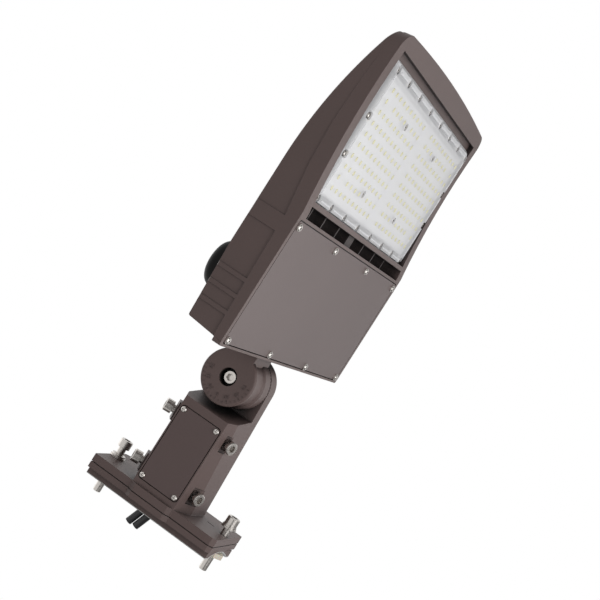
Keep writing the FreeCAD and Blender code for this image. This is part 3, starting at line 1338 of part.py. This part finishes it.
pole_gasket()
pole_adaptor()
flange_gasket()
ring_of_teeth = serrations()
arm_body(ring_of_teeth)
arm_cover()
arm_cover_gasket()
tenon_bolts()
mount_bolts()
flat_washer = mount_washers()
retaining_nuts()
pivot_hardware(flat_washer)
cable_bung()
cable("mains_cable", -1)
cable("dimming_cable", 1)
knuckle_head(ring_of_teeth)
knuckle_gasket()
knuckle_screws()
housing()
driver_cover()
driver_cover_gasket()
driver_cover_screws()
led_driver()
driver_screws()
surge_protector()
terminal_block()
led_board("led_board_near", -1)
led_board("led_board_far", 1)
board_screws()
led_chips()
lens_panel()
lens_gasket()
m4_screw = lens_screws()
arm_cover_screws(m4_screw)
socket_gasket()
photocell_socket()
socket_screws()
shorting_cap()
cap_blades()

doc.recompute()

for thing in doc.Objects:
    if "Invalid" in thing.State or "Error" in thing.State:
        raise RuntimeError("%s could not be built: %s" % (thing.Label, thing.State))
for thing in doc.Objects:
    if thing.TypeId == "PartDesign::Pocket" and thing.Shape.Volume >= thing.BaseFeature.Shape.Volume - 1e-3:
        raise RuntimeError("%s cuts nothing" % thing.Name)
for piece in pieces:
    if piece.Shape.isNull() or not piece.Shape.isValid():
        raise RuntimeError("%s has no sound shape" % piece.Label)

os.makedirs("parts", exist_ok=True)
for piece in pieces:
    piece.Shape.exportStep("parts/%s.step" % piece.Label)
    print("%-22s %3d solids %10.1f mm3" % (piece.Label, len(piece.Shape.Solids), piece.Shape.Volume))
print("%d sub-parts" % len(pieces))
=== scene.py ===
import math

import bmesh
import bpy
from mathutils import Matrix, Vector


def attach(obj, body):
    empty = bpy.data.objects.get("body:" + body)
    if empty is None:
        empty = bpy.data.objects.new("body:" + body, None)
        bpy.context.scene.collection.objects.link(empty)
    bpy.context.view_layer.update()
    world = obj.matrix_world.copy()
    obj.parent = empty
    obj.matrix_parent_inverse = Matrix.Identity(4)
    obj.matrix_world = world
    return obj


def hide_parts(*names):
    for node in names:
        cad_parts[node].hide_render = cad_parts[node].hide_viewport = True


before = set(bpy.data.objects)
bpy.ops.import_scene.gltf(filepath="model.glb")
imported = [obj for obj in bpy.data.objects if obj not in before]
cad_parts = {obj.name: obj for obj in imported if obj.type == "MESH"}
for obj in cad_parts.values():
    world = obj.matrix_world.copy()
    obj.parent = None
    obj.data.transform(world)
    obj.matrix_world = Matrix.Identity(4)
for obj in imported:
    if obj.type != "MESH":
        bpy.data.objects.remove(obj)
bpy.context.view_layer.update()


# ---- Camera, floor and light
# The light is seen from below and from its dial side through a long lens, as a
# product shot that was turned on its side. A white surround stands behind it, and
# a large soft panel lights the underside from the camera's right.

def linear(hex_colour):
    """An sRGB hex colour as the linear RGBA that the nodes take."""
    parts = [int(hex_colour[i:i + 2], 16) / 255 for i in (1, 3, 5)]
    return [c / 12.92 if c <= 0.04045 else ((c + 0.055) / 1.055) ** 2.4 for c in parts] + [1]


def add(tree, kind, settings, sockets):
    """Adds a node with its settings. A socket is given a value, or the output that feeds it."""
    node = tree.nodes.new("ShaderNode" + kind)
    for name, value in settings.items():
        setattr(node, name, value)
    for name, value in sockets.items():
        if isinstance(value, bpy.types.NodeSocket):
            tree.links.new(value, node.inputs[name])
        else:
            node.inputs[name].default_value = value
    return node


def new_material(name):
    """An empty material with its output node."""
    material = bpy.data.materials.new(name)
    material.use_nodes = True
    material.node_tree.nodes.clear()
    output = material.node_tree.nodes.new("ShaderNodeOutputMaterial")
    return material, material.node_tree, output


right = Vector((0.53619, 0.27869, -0.79676))
down = Vector((-0.84335, 0.13724, -0.51954))
ahead = Vector((-0.03544, 0.95053, 0.30862))
camera_at = Vector((0.3695, -1.6628, -0.5461))
turn = Matrix((right, -down, -ahead)).transposed().to_4x4()

camera_data = bpy.data.cameras.new("camera")
camera_data.sensor_width = 36
camera_data.lens = 88.70
camera_data.clip_start = 0.05
camera = bpy.data.objects.new("camera", camera_data)
camera.matrix_world = Matrix.Translation(camera_at) @ turn
bpy.context.scene.collection.objects.link(camera)
bpy.context.scene.camera = camera

# matt paper, flat white without any gloss
paper, tree, output = new_material("white_studio_paper")
shader = add(tree, "BsdfPrincipled", {}, {"Base Color": linear("#eeeeee"), "Roughness": 0.9})
tree.links.new(shader.outputs["BSDF"], output.inputs["Surface"])
sweep = bmesh.new()
bmesh.ops.create_grid(sweep, x_segments=8, y_segments=8, size=3)
bmesh.ops.translate(sweep, verts=sweep.verts, vec=(0.3, 0, -0.95))
floor_mesh = bpy.data.meshes.new("floor")
sweep.to_mesh(floor_mesh)
sweep.free()
floor = bpy.data.objects.new("floor", floor_mesh)
floor_mesh.materials.append(paper)
bpy.context.scene.collection.objects.link(floor)

middle = Vector((0.31, 0, 0))
soft_panels = [
    ("panel_underside", Vector((0.02, -0.36, -0.84)), 0.8, 6.2),
    ("panel_rim", Vector((0.05, 0.62, -0.72)), 0.7, 2.2),
    ("panel_front", -ahead * 1.5 - right * 0.3 - down * 0.5, 1.0, 1.0),
    ("panel_roof", Vector((-0.2, 0.5, 1.3)), 1.4, 4.5),
]
for name, offset, side, watts in soft_panels:
    lamp = bpy.data.lights.new(name, "AREA")
    lamp.size = side
    lamp.energy = watts
    panel = bpy.data.objects.new(name, lamp)
    aim = (-offset).to_track_quat("-Z", "Y").to_matrix().to_4x4()
    panel.matrix_world = Matrix.Translation(middle + offset) @ aim
    panel.visible_camera = False
    bpy.context.scene.collection.objects.link(panel)

surround = bpy.data.worlds.new("white_surround")
surround.use_nodes = True
bpy.context.scene.world = surround
tree = surround.node_tree
tree.nodes.clear()
sky = tree.nodes.new("ShaderNodeOutputWorld")
path = add(tree, "LightPath", {}, {})
seen = add(tree, "Math", {"operation": "MAXIMUM"}, {
    0: path.outputs["Is Camera Ray"], 1: path.outputs["Is Glossy Ray"]})
seen = add(tree, "Math", {"operation": "MAXIMUM"}, {
    0: seen.outputs[0], 1: path.outputs["Is Transmission Ray"]})
level = add(tree, "MapRange", {}, {"Value": seen.outputs[0], "To Min": 0.24, "To Max": 1.0})
glow = add(tree, "Background", {}, {"Color": linear("#ffffff"), "Strength": level.outputs["Result"]})
tree.links.new(glow.outputs["Background"], sky.inputs["Surface"])


# ---- Supply and dimming cables
# Two round rubber-jacketed cables leave the bung in the arm's mouth side by side and
# pass through the back of the adaptor into the pole, where both are cut off square.

def curve_along(name, points, radius):
    """A round cable on one smooth curve."""
    data = bpy.data.curves.new(name, "CURVE")
    data.dimensions = "3D"
    data.bevel_depth = radius
    data.bevel_resolution = 6
    data.resolution_u = 12
    data.use_fill_caps = True
    line = data.splines.new("NURBS")
    line.points.add(len(points) - 1)
    for spot, place in zip(line.points, points):
        spot.co = (*place, 1)
    line.order_u = 3
    line.use_endpoint_u = True
    thing = bpy.data.objects.new(name, data)
    bpy.context.scene.collection.objects.link(thing)
    return thing


# Chloroprene rubber, extruded: near black, a soft sheen, a slight ripple of about 2 mm.
cable_rubber, tree, output = new_material("extruded_cable_rubber")
place = add(tree, "TexCoord", {}, {})
ripple = add(tree, "TexNoise", {}, {"Vector": place.outputs["Object"], "Scale": 420.0, "Detail": 2.0})
dent = add(tree, "Bump", {}, {"Height": ripple.outputs["Fac"], "Strength": 0.25, "Distance": 0.0002})
shader = add(tree, "BsdfPrincipled", {}, {
    "Base Color": linear("#17171a"), "Roughness": 0.48, "IOR": 1.52, "Normal": dent.outputs["Normal"]})
tree.links.new(shader.outputs["BSDF"], output.inputs["Surface"])

cable_route = [(0.033, 0.0075), (0.015, 0.0075), (-0.005, 0.013), (-0.027, 0.0216)]
for name, shift in (("mains_cable", -0.0053), ("dimming_cable", 0.0053)):
    cable = curve_along(name + "_jacket", [(x, 0, z + shift) for x, z in cable_route], 0.0093 / 2)
    cable.data.materials.append(cable_rubber)
    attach(cable, "arm")
    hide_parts(name)


# ---- Gasket on the pole
# A pale silicone sheet, die cut to the adaptor's back and its arch, which keeps
# water out between the adaptor and the pole. Soft and matte, with dust in blots of 11 mm.

def dress(material, *names):
    """Gives CAD nodes their finish."""
    for name in names:
        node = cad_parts[name]
        node.data.materials.clear()
        node.data.materials.append(material)


silicone, tree, output = new_material("die_cut_grey_silicone")
place = add(tree, "TexCoord", {}, {})
dust = add(tree, "TexNoise", {}, {"Vector": place.outputs["Object"], "Scale": 90.0, "Detail": 4.0})
tone = add(tree, "Mix", {"data_type": "RGBA"}, {
    0: dust.outputs["Fac"], 6: linear("#b3b2b0"), 7: linear("#c9c8c5")})
shader = add(tree, "BsdfPrincipled", {}, {"Base Color": tone.outputs[2], "Roughness": 0.62, "IOR": 1.41})
tree.links.new(shader.outputs["BSDF"], output.inputs["Surface"])
dress(silicone, "pole_gasket")


# ---- Adaptor, arm, knuckle and housing castings
# Pressure die-cast aluminium, blasted and powder coated dark bronze. The coat is
# polyester with a fine satin texture: it rounds every edge and breaks up highlights.

bronze_coat, tree, output = new_material("bronze_polyester_powder_coat")
place = add(tree, "TexCoord", {}, {})
# the coat's texture is about 0.35 mm from crest to crest, drawn at 0.9 mm so that it shows
grit = add(tree, "TexNoise", {}, {
    "Vector": place.outputs["Object"], "Scale": 1100.0, "Detail": 3.0, "Roughness": 0.6})
cloud = add(tree, "TexNoise", {}, {"Vector": place.outputs["Object"], "Scale": 16.0, "Detail": 3.0})
rounding = add(tree, "Bevel", {"samples": 6}, {"Radius": 0.0008})
relief = add(tree, "Bump", {}, {"Height": grit.outputs["Fac"], "Strength": 0.22, "Distance": 0.0003,
                                "Normal": rounding.outputs["Normal"]})
tone = add(tree, "Mix", {"data_type": "RGBA"}, {
    0: cloud.outputs["Fac"], 6: linear("#5e4f4c"), 7: linear("#685754")})
# painted shade: the coat's colour is darkened to near black where ambient occlusion finds it enclosed, in
# the slots and the pocket behind the knuckle
enclosure_ao = add(tree, "AmbientOcclusion", {"samples": 8}, {"Distance": 0.04})
unshaded_share = add(tree, "MapRange", {}, {"Value": enclosure_ao.outputs["AO"], "From Min": 0.28, "From Max": 0.7})
tone = add(tree, "Mix", {"data_type": "RGBA"}, {
    0: unshaded_share.outputs["Result"], 6: linear("#0c0a0a"), 7: tone.outputs[2]})
shader = add(tree, "BsdfPrincipled", {}, {
    "Base Color": tone.outputs[2], "Roughness": 0.48, "Specular IOR Level": 0.34, "IOR": 1.5,
    "Normal": relief.outputs["Normal"]})
tree.links.new(shader.outputs["BSDF"], output.inputs["Surface"])
dress(bronze_coat, "pole_adaptor", "arm_body", "knuckle_head", "housing")


# ---- Tilt scale on the knuckle
# Ticks and plain degree numbers stand proud of the round face that turns with the
# head. They are cast with it, so they are coated over in the same bronze.

dial_centre = Vector((0.19, -0.054, 0))
facing = Matrix.Translation(dial_centre) @ Matrix.Rotation(math.pi / 2, 4, "X")
proud = 0.0006
number_tall, number_radius = 0.0066, 0.0232
tick_end, long_tick, short_tick, tick_wide = 0.0312, 0.0038, 0.0026, 0.0006
scale = bmesh.new()
for step in range(-3, 4):
    angle = math.radians(180 - 30 * step)
    digits = bpy.data.curves.new("degrees", "FONT")
    digits.body = "%d" % (30 * abs(step))
    digits.size = number_tall
    digits.extrude = proud
    digits.offset = 0.00006
    digits.resolution_u = 3
    digits.align_x = "CENTER"
    digits.align_y = "CENTER"
    holder = bpy.data.objects.new("degrees", digits)
    bpy.context.scene.collection.objects.link(holder)
    bpy.context.view_layer.update()
    graph = bpy.context.evaluated_depsgraph_get()
    flat = bpy.data.meshes.new_from_object(holder.evaluated_get(graph))
    upright = Matrix.Rotation(angle - math.pi / 2, 4, "Z") @ Matrix.Translation((0, number_radius, 0))
    flat.transform(facing @ upright)
    scale.from_mesh(flat)
    bpy.data.objects.remove(holder)
    bpy.data.meshes.remove(flat)
bmesh.ops.remove_doubles(scale, verts=scale.verts, dist=0.00001)
for tenth in range(-9, 10):
    angle = math.radians(180 - 10 * tenth)
    reach = long_tick if tenth % 3 == 0 else short_tick
    spot = Matrix.Rotation(angle, 4, "Z") @ Matrix.Translation((tick_end - reach / 2, 0, 0))
    sides = Matrix.Diagonal((reach, tick_wide, 2 * proud, 1))
    bmesh.ops.create_cube(scale, size=1, matrix=facing @ spot @ sides)
bmesh.ops.recalc_face_normals(scale, faces=scale.faces)
scale_mesh = bpy.data.meshes.new("tilt_scale")
scale.to_mesh(scale_mesh)
scale.free()
tilt_scale = bpy.data.objects.new("tilt_scale", scale_mesh)
bpy.context.scene.collection.objects.link(tilt_scale)
scale_mesh.materials.append(bronze_coat)
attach(tilt_scale, "head")


# ---- Black rubber gaskets and the cable bung
# Moulded EPDM between every pair of castings, under the covers and the socket, and
# in the arm's mouth round the cables. Matte black, with a faint bloom in blots of 4 mm.

epdm, tree, output = new_material("moulded_epdm_rubber")
place = add(tree, "TexCoord", {}, {})
dust = add(tree, "TexNoise", {}, {"Vector": place.outputs["Object"], "Scale": 240.0, "Detail": 3.0})
rough = add(tree, "MapRange", {}, {"Value": dust.outputs["Fac"], "To Min": 0.6, "To Max": 0.8})
shader = add(tree, "BsdfPrincipled", {}, {
    "Base Color": linear("#1b1a1a"), "Roughness": rough.outputs["Result"]})
tree.links.new(shader.outputs["BSDF"], output.inputs["Surface"])
dress(epdm, "flange_gasket", "arm_cover_gasket", "driver_cover_gasket", "knuckle_gasket", "socket_gasket",
      "cable_bung")


# ---- Stainless fasteners
# Bolts, nuts, washers and screws of stainless steel, cold headed and passivated. They
# are bright, and the forming marks, about 3 mm apart, break up their reflections.

stainless, tree, output = new_material("cold_headed_stainless")
place = add(tree, "TexCoord", {}, {})
drawn = add(tree, "TexNoise", {}, {"Vector": place.outputs["Object"], "Scale": 300.0, "Detail": 3.0})
rough = add(tree, "MapRange", {}, {"Value": drawn.outputs["Fac"], "To Min": 0.2, "To Max": 0.34})
rounding = add(tree, "Bevel", {"samples": 4}, {"Radius": 0.0004})
# painted shade: the steel's colour is darkened to near black where ambient occlusion finds it enclosed,
# in sockets and recesses
recess_ao = add(tree, "AmbientOcclusion", {"samples": 6}, {"Distance": 0.0025})
unshaded_steel = add(tree, "MapRange", {}, {"Value": recess_ao.outputs["AO"], "From Min": 0.15, "From Max": 0.55})
tone = add(tree, "Mix", {"data_type": "RGBA"}, {
    0: unshaded_steel.outputs["Result"], 6: linear("#2e2a28"), 7: linear("#bfbab5")})
shader = add(tree, "BsdfPrincipled", {}, {
    "Base Color": tone.outputs[2], "Metallic": 1.0, "Roughness": rough.outputs["Result"],
    "Normal": rounding.outputs["Normal"]})
tree.links.new(shader.outputs["BSDF"], output.inputs["Surface"])
dress(stainless, "tenon_bolts", "mount_bolts", "flat_washers", "spring_washers", "pivot_bolt",
      "pivot_washer", "pivot_nut", "knuckle_screws", "driver_screws", "board_screws", "socket_screws")


# ---- Cross-recess screws
# The small pan heads that show have a cross punched in them. The recess is sunk in a
# copy of each modelled screw, as deep as a number 2 driver bites.

recess_span, recess_wide, recess_deep = 0.0042, 0.0011, 0.0013


def crossed_screws(name, out, body):
    """Replaces a node's screws by copies with a cross recess. Their heads face out."""
    bits = bmesh.new()
    bits.from_mesh(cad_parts[name].data)
    bmesh.ops.remove_doubles(bits, verts=bits.verts, dist=0.000001)
    left = set(bits.verts)
    heads = []
    while left:
        screw, open_ends = [], [left.pop()]
        while open_ends:
            vert = open_ends.pop()
            screw.append(vert.co)
            for near in [edge.other_vert(vert) for edge in vert.link_edges]:
                if near in left:
                    left.remove(near)
                    open_ends.append(near)
        low = Vector([min(spot[axis] for spot in screw) for axis in range(3)])
        high = Vector([max(spot[axis] for spot in screw) for axis in range(3)])
        centre = (low + high) / 2
        heads.append(centre + out * (max(spot.dot(out) for spot in screw) - centre.dot(out)))
    mesh = bpy.data.meshes.new(name + "_crossed")
    bits.to_mesh(mesh)
    bits.free()
    mesh.materials.append(stainless)
    screws = bpy.data.objects.new(name + "_crossed", mesh)
    bpy.context.scene.collection.objects.link(screws)
    across = Vector((1, 0, 0))
    axes = Matrix((across, out.cross(across), out)).transposed().to_4x4()
    punches = []
    for length, width in ((recess_span, recess_wide), (recess_wide, recess_span)):
        wing = axes @ Matrix.Diagonal((length, width, 2 * recess_deep, 1))
        punch = bmesh.new()
        for spot in heads:
            bmesh.ops.create_cube(punch, size=1, matrix=Matrix.Translation(spot) @ wing)
        bmesh.ops.recalc_face_normals(punch, faces=punch.faces)
        punch_mesh = bpy.data.meshes.new("punch")
        punch.to_mesh(punch_mesh)
        punch.free()
        punches.append(bpy.data.objects.new("punch", punch_mesh))
        bpy.context.scene.collection.objects.link(punches[-1])
        sunk = screws.modifiers.new("recess", "BOOLEAN")
        sunk.operation = "DIFFERENCE"
        sunk.solver = "EXACT"
        sunk.object = punches[-1]
    bpy.context.view_layer.update()
    graph = bpy.context.evaluated_depsgraph_get()
    done = bpy.data.meshes.new_from_object(screws.evaluated_get(graph))
    screws.modifiers.clear()
    screws.data = done
    for punch in punches:
        bpy.data.objects.remove(punch)
    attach(screws, body)
    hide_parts(name)


crossed_screws("lens_screws", Vector((0, 0, -1)), "head")
crossed_screws("driver_cover_screws", Vector((0, 0, -1)), "head")
crossed_screws("arm_cover_screws", Vector((0, -1, 0)), "arm")


# ---- Retaining nuts and terminal block
# Natural nylon hexagons that hold the mounting bolts in the adaptor before it goes up,
# and the wiring block in the driver bay. Moulded, milky and a little see-through.

nylon, tree, output = new_material("natural_nylon")
place = add(tree, "TexCoord", {}, {})
milk = add(tree, "TexNoise", {}, {"Vector": place.outputs["Object"], "Scale": 120.0})
tone = add(tree, "Mix", {"data_type": "RGBA"}, {
    0: milk.outputs["Fac"], 6: linear("#c9bfae"), 7: linear("#dcd4c4")})
shader = add(tree, "BsdfPrincipled", {}, {
    "Base Color": tone.outputs[2], "Roughness": 0.42, "IOR": 1.53, "Subsurface Weight": 0.15,
    "Subsurface Scale": 0.004})
tree.links.new(shader.outputs["BSDF"], output.inputs["Surface"])
dress(nylon, "retaining_nuts", "terminal_block")


# ---- Sheet covers
# Flat aluminium lids over the arm's wiring window and the driver bay, laser cut and
# sprayed smoother than the castings, so they catch the light more evenly.

cover_coat, tree, output = new_material("satin_bronze_sheet_coat")
place = add(tree, "TexCoord", {}, {})
peel = add(tree, "TexNoise", {}, {"Vector": place.outputs["Object"], "Scale": 700.0, "Detail": 2.0})
cloud = add(tree, "TexNoise", {}, {"Vector": place.outputs["Object"], "Scale": 9.0, "Detail": 2.0})
relief = add(tree, "Bump", {}, {"Height": peel.outputs["Fac"], "Strength": 0.12, "Distance": 0.0003})
tone = add(tree, "Mix", {"data_type": "RGBA"}, {
    0: cloud.outputs["Fac"], 6: linear("#574745"), 7: linear("#5e4d4b")})
shader = add(tree, "BsdfPrincipled", {}, {
    "Base Color": tone.outputs[2], "Roughness": 0.38, "Specular IOR Level": 0.4,
    "Normal": relief.outputs["Normal"]})
tree.links.new(shader.outputs["BSDF"], output.inputs["Surface"])
dress(cover_coat, "arm_cover", "driver_cover")


# ---- Inside the driver bay, photocell socket and shorting cap
# An extruded aluminium driver, dull and grey, is screwed under the roof and hidden by
# the cover. The surge protector beside it, the socket and the cap are black mouldings.

case, tree, output = new_material("extruded_aluminium_case")
place = add(tree, "TexCoord", {}, {})
lines = add(tree, "TexNoise", {}, {"Vector": place.outputs["Object"], "Scale": 60.0})
rough = add(tree, "MapRange", {}, {"Value": lines.outputs["Fac"], "To Min": 0.32, "To Max": 0.45})
shader = add(tree, "BsdfPrincipled", {}, {
    "Base Color": linear("#b9b9b9"), "Metallic": 1.0, "Roughness": rough.outputs["Result"]})
tree.links.new(shader.outputs["BSDF"], output.inputs["Surface"])
dress(case, "led_driver")

# polycarbonate with a fine spark-eroded grain of about 1 mm: near black, a weak sheen
black_plastic, tree, output = new_material("moulded_black_polycarbonate")
place = add(tree, "TexCoord", {}, {})
spark = add(tree, "TexNoise", {}, {"Vector": place.outputs["Object"], "Scale": 900.0, "Detail": 2.0})
relief = add(tree, "Bump", {}, {"Height": spark.outputs["Fac"], "Strength": 0.15, "Distance": 0.0002})
shader = add(tree, "BsdfPrincipled", {}, {
    "Base Color": linear("#0b0b0a"), "Roughness": 0.5, "Specular IOR Level": 0.1, "IOR": 1.58,
    "Normal": relief.outputs["Normal"]})
tree.links.new(shader.outputs["BSDF"], output.inputs["Surface"])
dress(black_plastic, "surge_protector", "photocell_socket", "shorting_cap")


# ---- LED boards and chips
# Aluminium-cored boards under a clean white solder mask, with rows of soldered LEDs.
# The LEDs are topped with phosphor, which is pale yellow and matte when they are off.

solder_mask, tree, output = new_material("white_solder_mask")
place = add(tree, "TexCoord", {}, {})
mottle = add(tree, "TexNoise", {}, {"Vector": place.outputs["Object"], "Scale": 50.0})
tone = add(tree, "Mix", {"data_type": "RGBA"}, {
    0: mottle.outputs["Fac"], 6: linear("#f8f9fb"), 7: linear("#ffffff")})
shader = add(tree, "BsdfPrincipled", {}, {"Base Color": tone.outputs[2], "Roughness": 0.35})
tree.links.new(shader.outputs["BSDF"], output.inputs["Surface"])
dress(solder_mask, "led_board_near", "led_board_far")

phosphor, tree, output = new_material("yellow_phosphor")
place = add(tree, "TexCoord", {}, {})
grain = add(tree, "TexNoise", {}, {"Vector": place.outputs["Object"], "Scale": 800.0})
tone = add(tree, "Mix", {"data_type": "RGBA"}, {
    0: grain.outputs["Fac"], 6: linear("#e9e08e"), 7: linear("#f4eeb0")})
shader = add(tree, "BsdfPrincipled", {}, {"Base Color": tone.outputs[2], "Roughness": 0.5})
tree.links.new(shader.outputs["BSDF"], output.inputs["Surface"])
dress(phosphor, "led_chips")


# ---- Lens panel
# One injection-moulded clear panel with a small dome over each LED. It is lightly
# frosted, so the boards show through it as if through mist.

lens_clear, tree, output = new_material("frosted_clear_polycarbonate")
place = add(tree, "TexCoord", {}, {})
frost = add(tree, "TexNoise", {}, {"Vector": place.outputs["Object"], "Scale": 500.0})
relief = add(tree, "Bump", {}, {"Height": frost.outputs["Fac"], "Strength": 0.08, "Distance": 0.0002})
shader = add(tree, "BsdfPrincipled", {}, {
    "Base Color": linear("#fdfdff"), "Roughness": 0.34, "Specular IOR Level": 0.3, "IOR": 1.58,
    "Alpha": 0.5, "Normal": relief.outputs["Normal"]})
tree.links.new(shader.outputs["BSDF"], output.inputs["Surface"])
dress(lens_clear, "lens_panel")


# ---- Stiffening bars of the lens
# Low bars between the screws, moulded with the panel along all four of its borders.
# Their edges are rounded, and they show as faint lines in the same frosted plastic.

lens_face = -0.0284
bar_wide, bar_thick = 0.0022, 0.0012
along_y = [(-0.19, -0.155), (-0.14, -0.098), (-0.083, -0.038), (-0.023, 0.023), (0.038, 0.083),
           (0.098, 0.14), (0.155, 0.19)]
along_x = [(0.421, 0.462), (0.476, 0.509), (0.523, 0.566)]
bars = [(x, x, y0, y1) for x in (0.4142, 0.5726) for y0, y1 in along_y]
bars += [(x0, x1, y, y) for y in (-0.2012, 0.2012) for x0, x1 in along_x]
border = bmesh.new()
for x0, x1, y0, y1 in bars:
    spot = Matrix.Translation(((x0 + x1) / 2, (y0 + y1) / 2, lens_face - 0.0002))
    sides = Matrix.Diagonal((max(x1 - x0, bar_wide), max(y1 - y0, bar_wide), bar_thick, 1))
    bmesh.ops.create_cube(border, size=1, matrix=spot @ sides)
bmesh.ops.bevel(border, geom=border.edges[:], offset=0.0004, affect="EDGES", segments=2, profile=0.5,
                material=-1)
border_mesh = bpy.data.meshes.new("lens_bars")
border.to_mesh(border_mesh)
border.free()
border_mesh.materials.append(lens_clear)
lens_bars = bpy.data.objects.new("lens_bars", border_mesh)
bpy.context.scene.collection.objects.link(lens_bars)
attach(lens_bars, "head")


# ---- Domes of the lens
# A low clear dome is moulded over each LED. It gathers the yellow of the phosphor
# below it, so each one shows as a pale yellow drop. None stands over a board screw.

first_x, pitch_x = 0.4324, 0.01346
first_y, pitch_y = 0.022, 0.0178
dome_radius, flatness = 0.003, 0.22
drops = bmesh.new()
for row in range(10):
    for column in range(10):
        if row in (1, 8) and column in (3, 8):
            continue
        for side in (-1, 1):
            x, y = first_x + pitch_x * row, side * (first_y + pitch_y * column)
            spot = Matrix.Translation((x, y, lens_face))
            bmesh.ops.create_uvsphere(drops, u_segments=14, v_segments=8, radius=dome_radius,
                                      matrix=spot @ Matrix.Diagonal((1, 1, flatness, 1)))
amber_dome, tree, output = new_material("clear_dome_over_phosphor")
place = add(tree, "TexCoord", {}, {})
swirl = add(tree, "TexNoise", {}, {"Vector": place.outputs["Object"], "Scale": 260.0})
tone = add(tree, "Mix", {"data_type": "RGBA"}, {
    0: swirl.outputs["Fac"], 6: linear("#efe9b4"), 7: linear("#f6f2cd")})
shader = add(tree, "BsdfPrincipled", {}, {
    "Base Color": tone.outputs[2], "Roughness": 0.25, "IOR": 1.58, "Alpha": 0.75})
tree.links.new(shader.outputs["BSDF"], output.inputs["Surface"])
drops_mesh = bpy.data.meshes.new("lens_domes")
drops.to_mesh(drops_mesh)
drops.free()
drops_mesh.polygons.foreach_set("use_smooth", [True] * len(drops_mesh.polygons))
drops_mesh.materials.append(amber_dome)
lens_domes = bpy.data.objects.new("lens_domes", drops_mesh)
bpy.context.scene.collection.objects.link(lens_domes)
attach(lens_domes, "head")


# ---- Lens gasket
# A die-cut ring of white silicone under the lens border, clamped by its screws. It is
# soft and matte, and shows through the border as a paler band.

white_silicone, tree, output = new_material("die_cut_white_silicone")
place = add(tree, "TexCoord", {}, {})
dust = add(tree, "TexNoise", {}, {"Vector": place.outputs["Object"], "Scale": 90.0, "Detail": 4.0})
tone = add(tree, "Mix", {"data_type": "RGBA"}, {
    0: dust.outputs["Fac"], 6: linear("#f0f0f3"), 7: linear("#f8f8fa")})
shader = add(tree, "BsdfPrincipled", {}, {"Base Color": tone.outputs[2], "Roughness": 0.62, "IOR": 1.41})
tree.links.new(shader.outputs["BSDF"], output.inputs["Surface"])
dress(white_silicone, "lens_gasket")


# ---- Contact blades
# Three blades of half-hard brass strip, stamped and staked into the cap, which hides
# them. Yellow metal with a dull, slightly hazed sheen.

brass, tree, output = new_material("stamped_brass")
place = add(tree, "TexCoord", {}, {})
haze = add(tree, "TexNoise", {}, {"Vector": place.outputs["Object"], "Scale": 200.0})
rough = add(tree, "MapRange", {}, {"Value": haze.outputs["Fac"], "To Min": 0.25, "To Max": 0.4})
shader = add(tree, "BsdfPrincipled", {}, {
    "Base Color": linear("#c9a65a"), "Metallic": 1.0, "Roughness": rough.outputs["Result"]})
tree.links.new(shader.outputs["BSDF"], output.inputs["Surface"])
dress(brass, "cap_blades")


bpy.context.scene.view_settings.view_transform = "Standard"
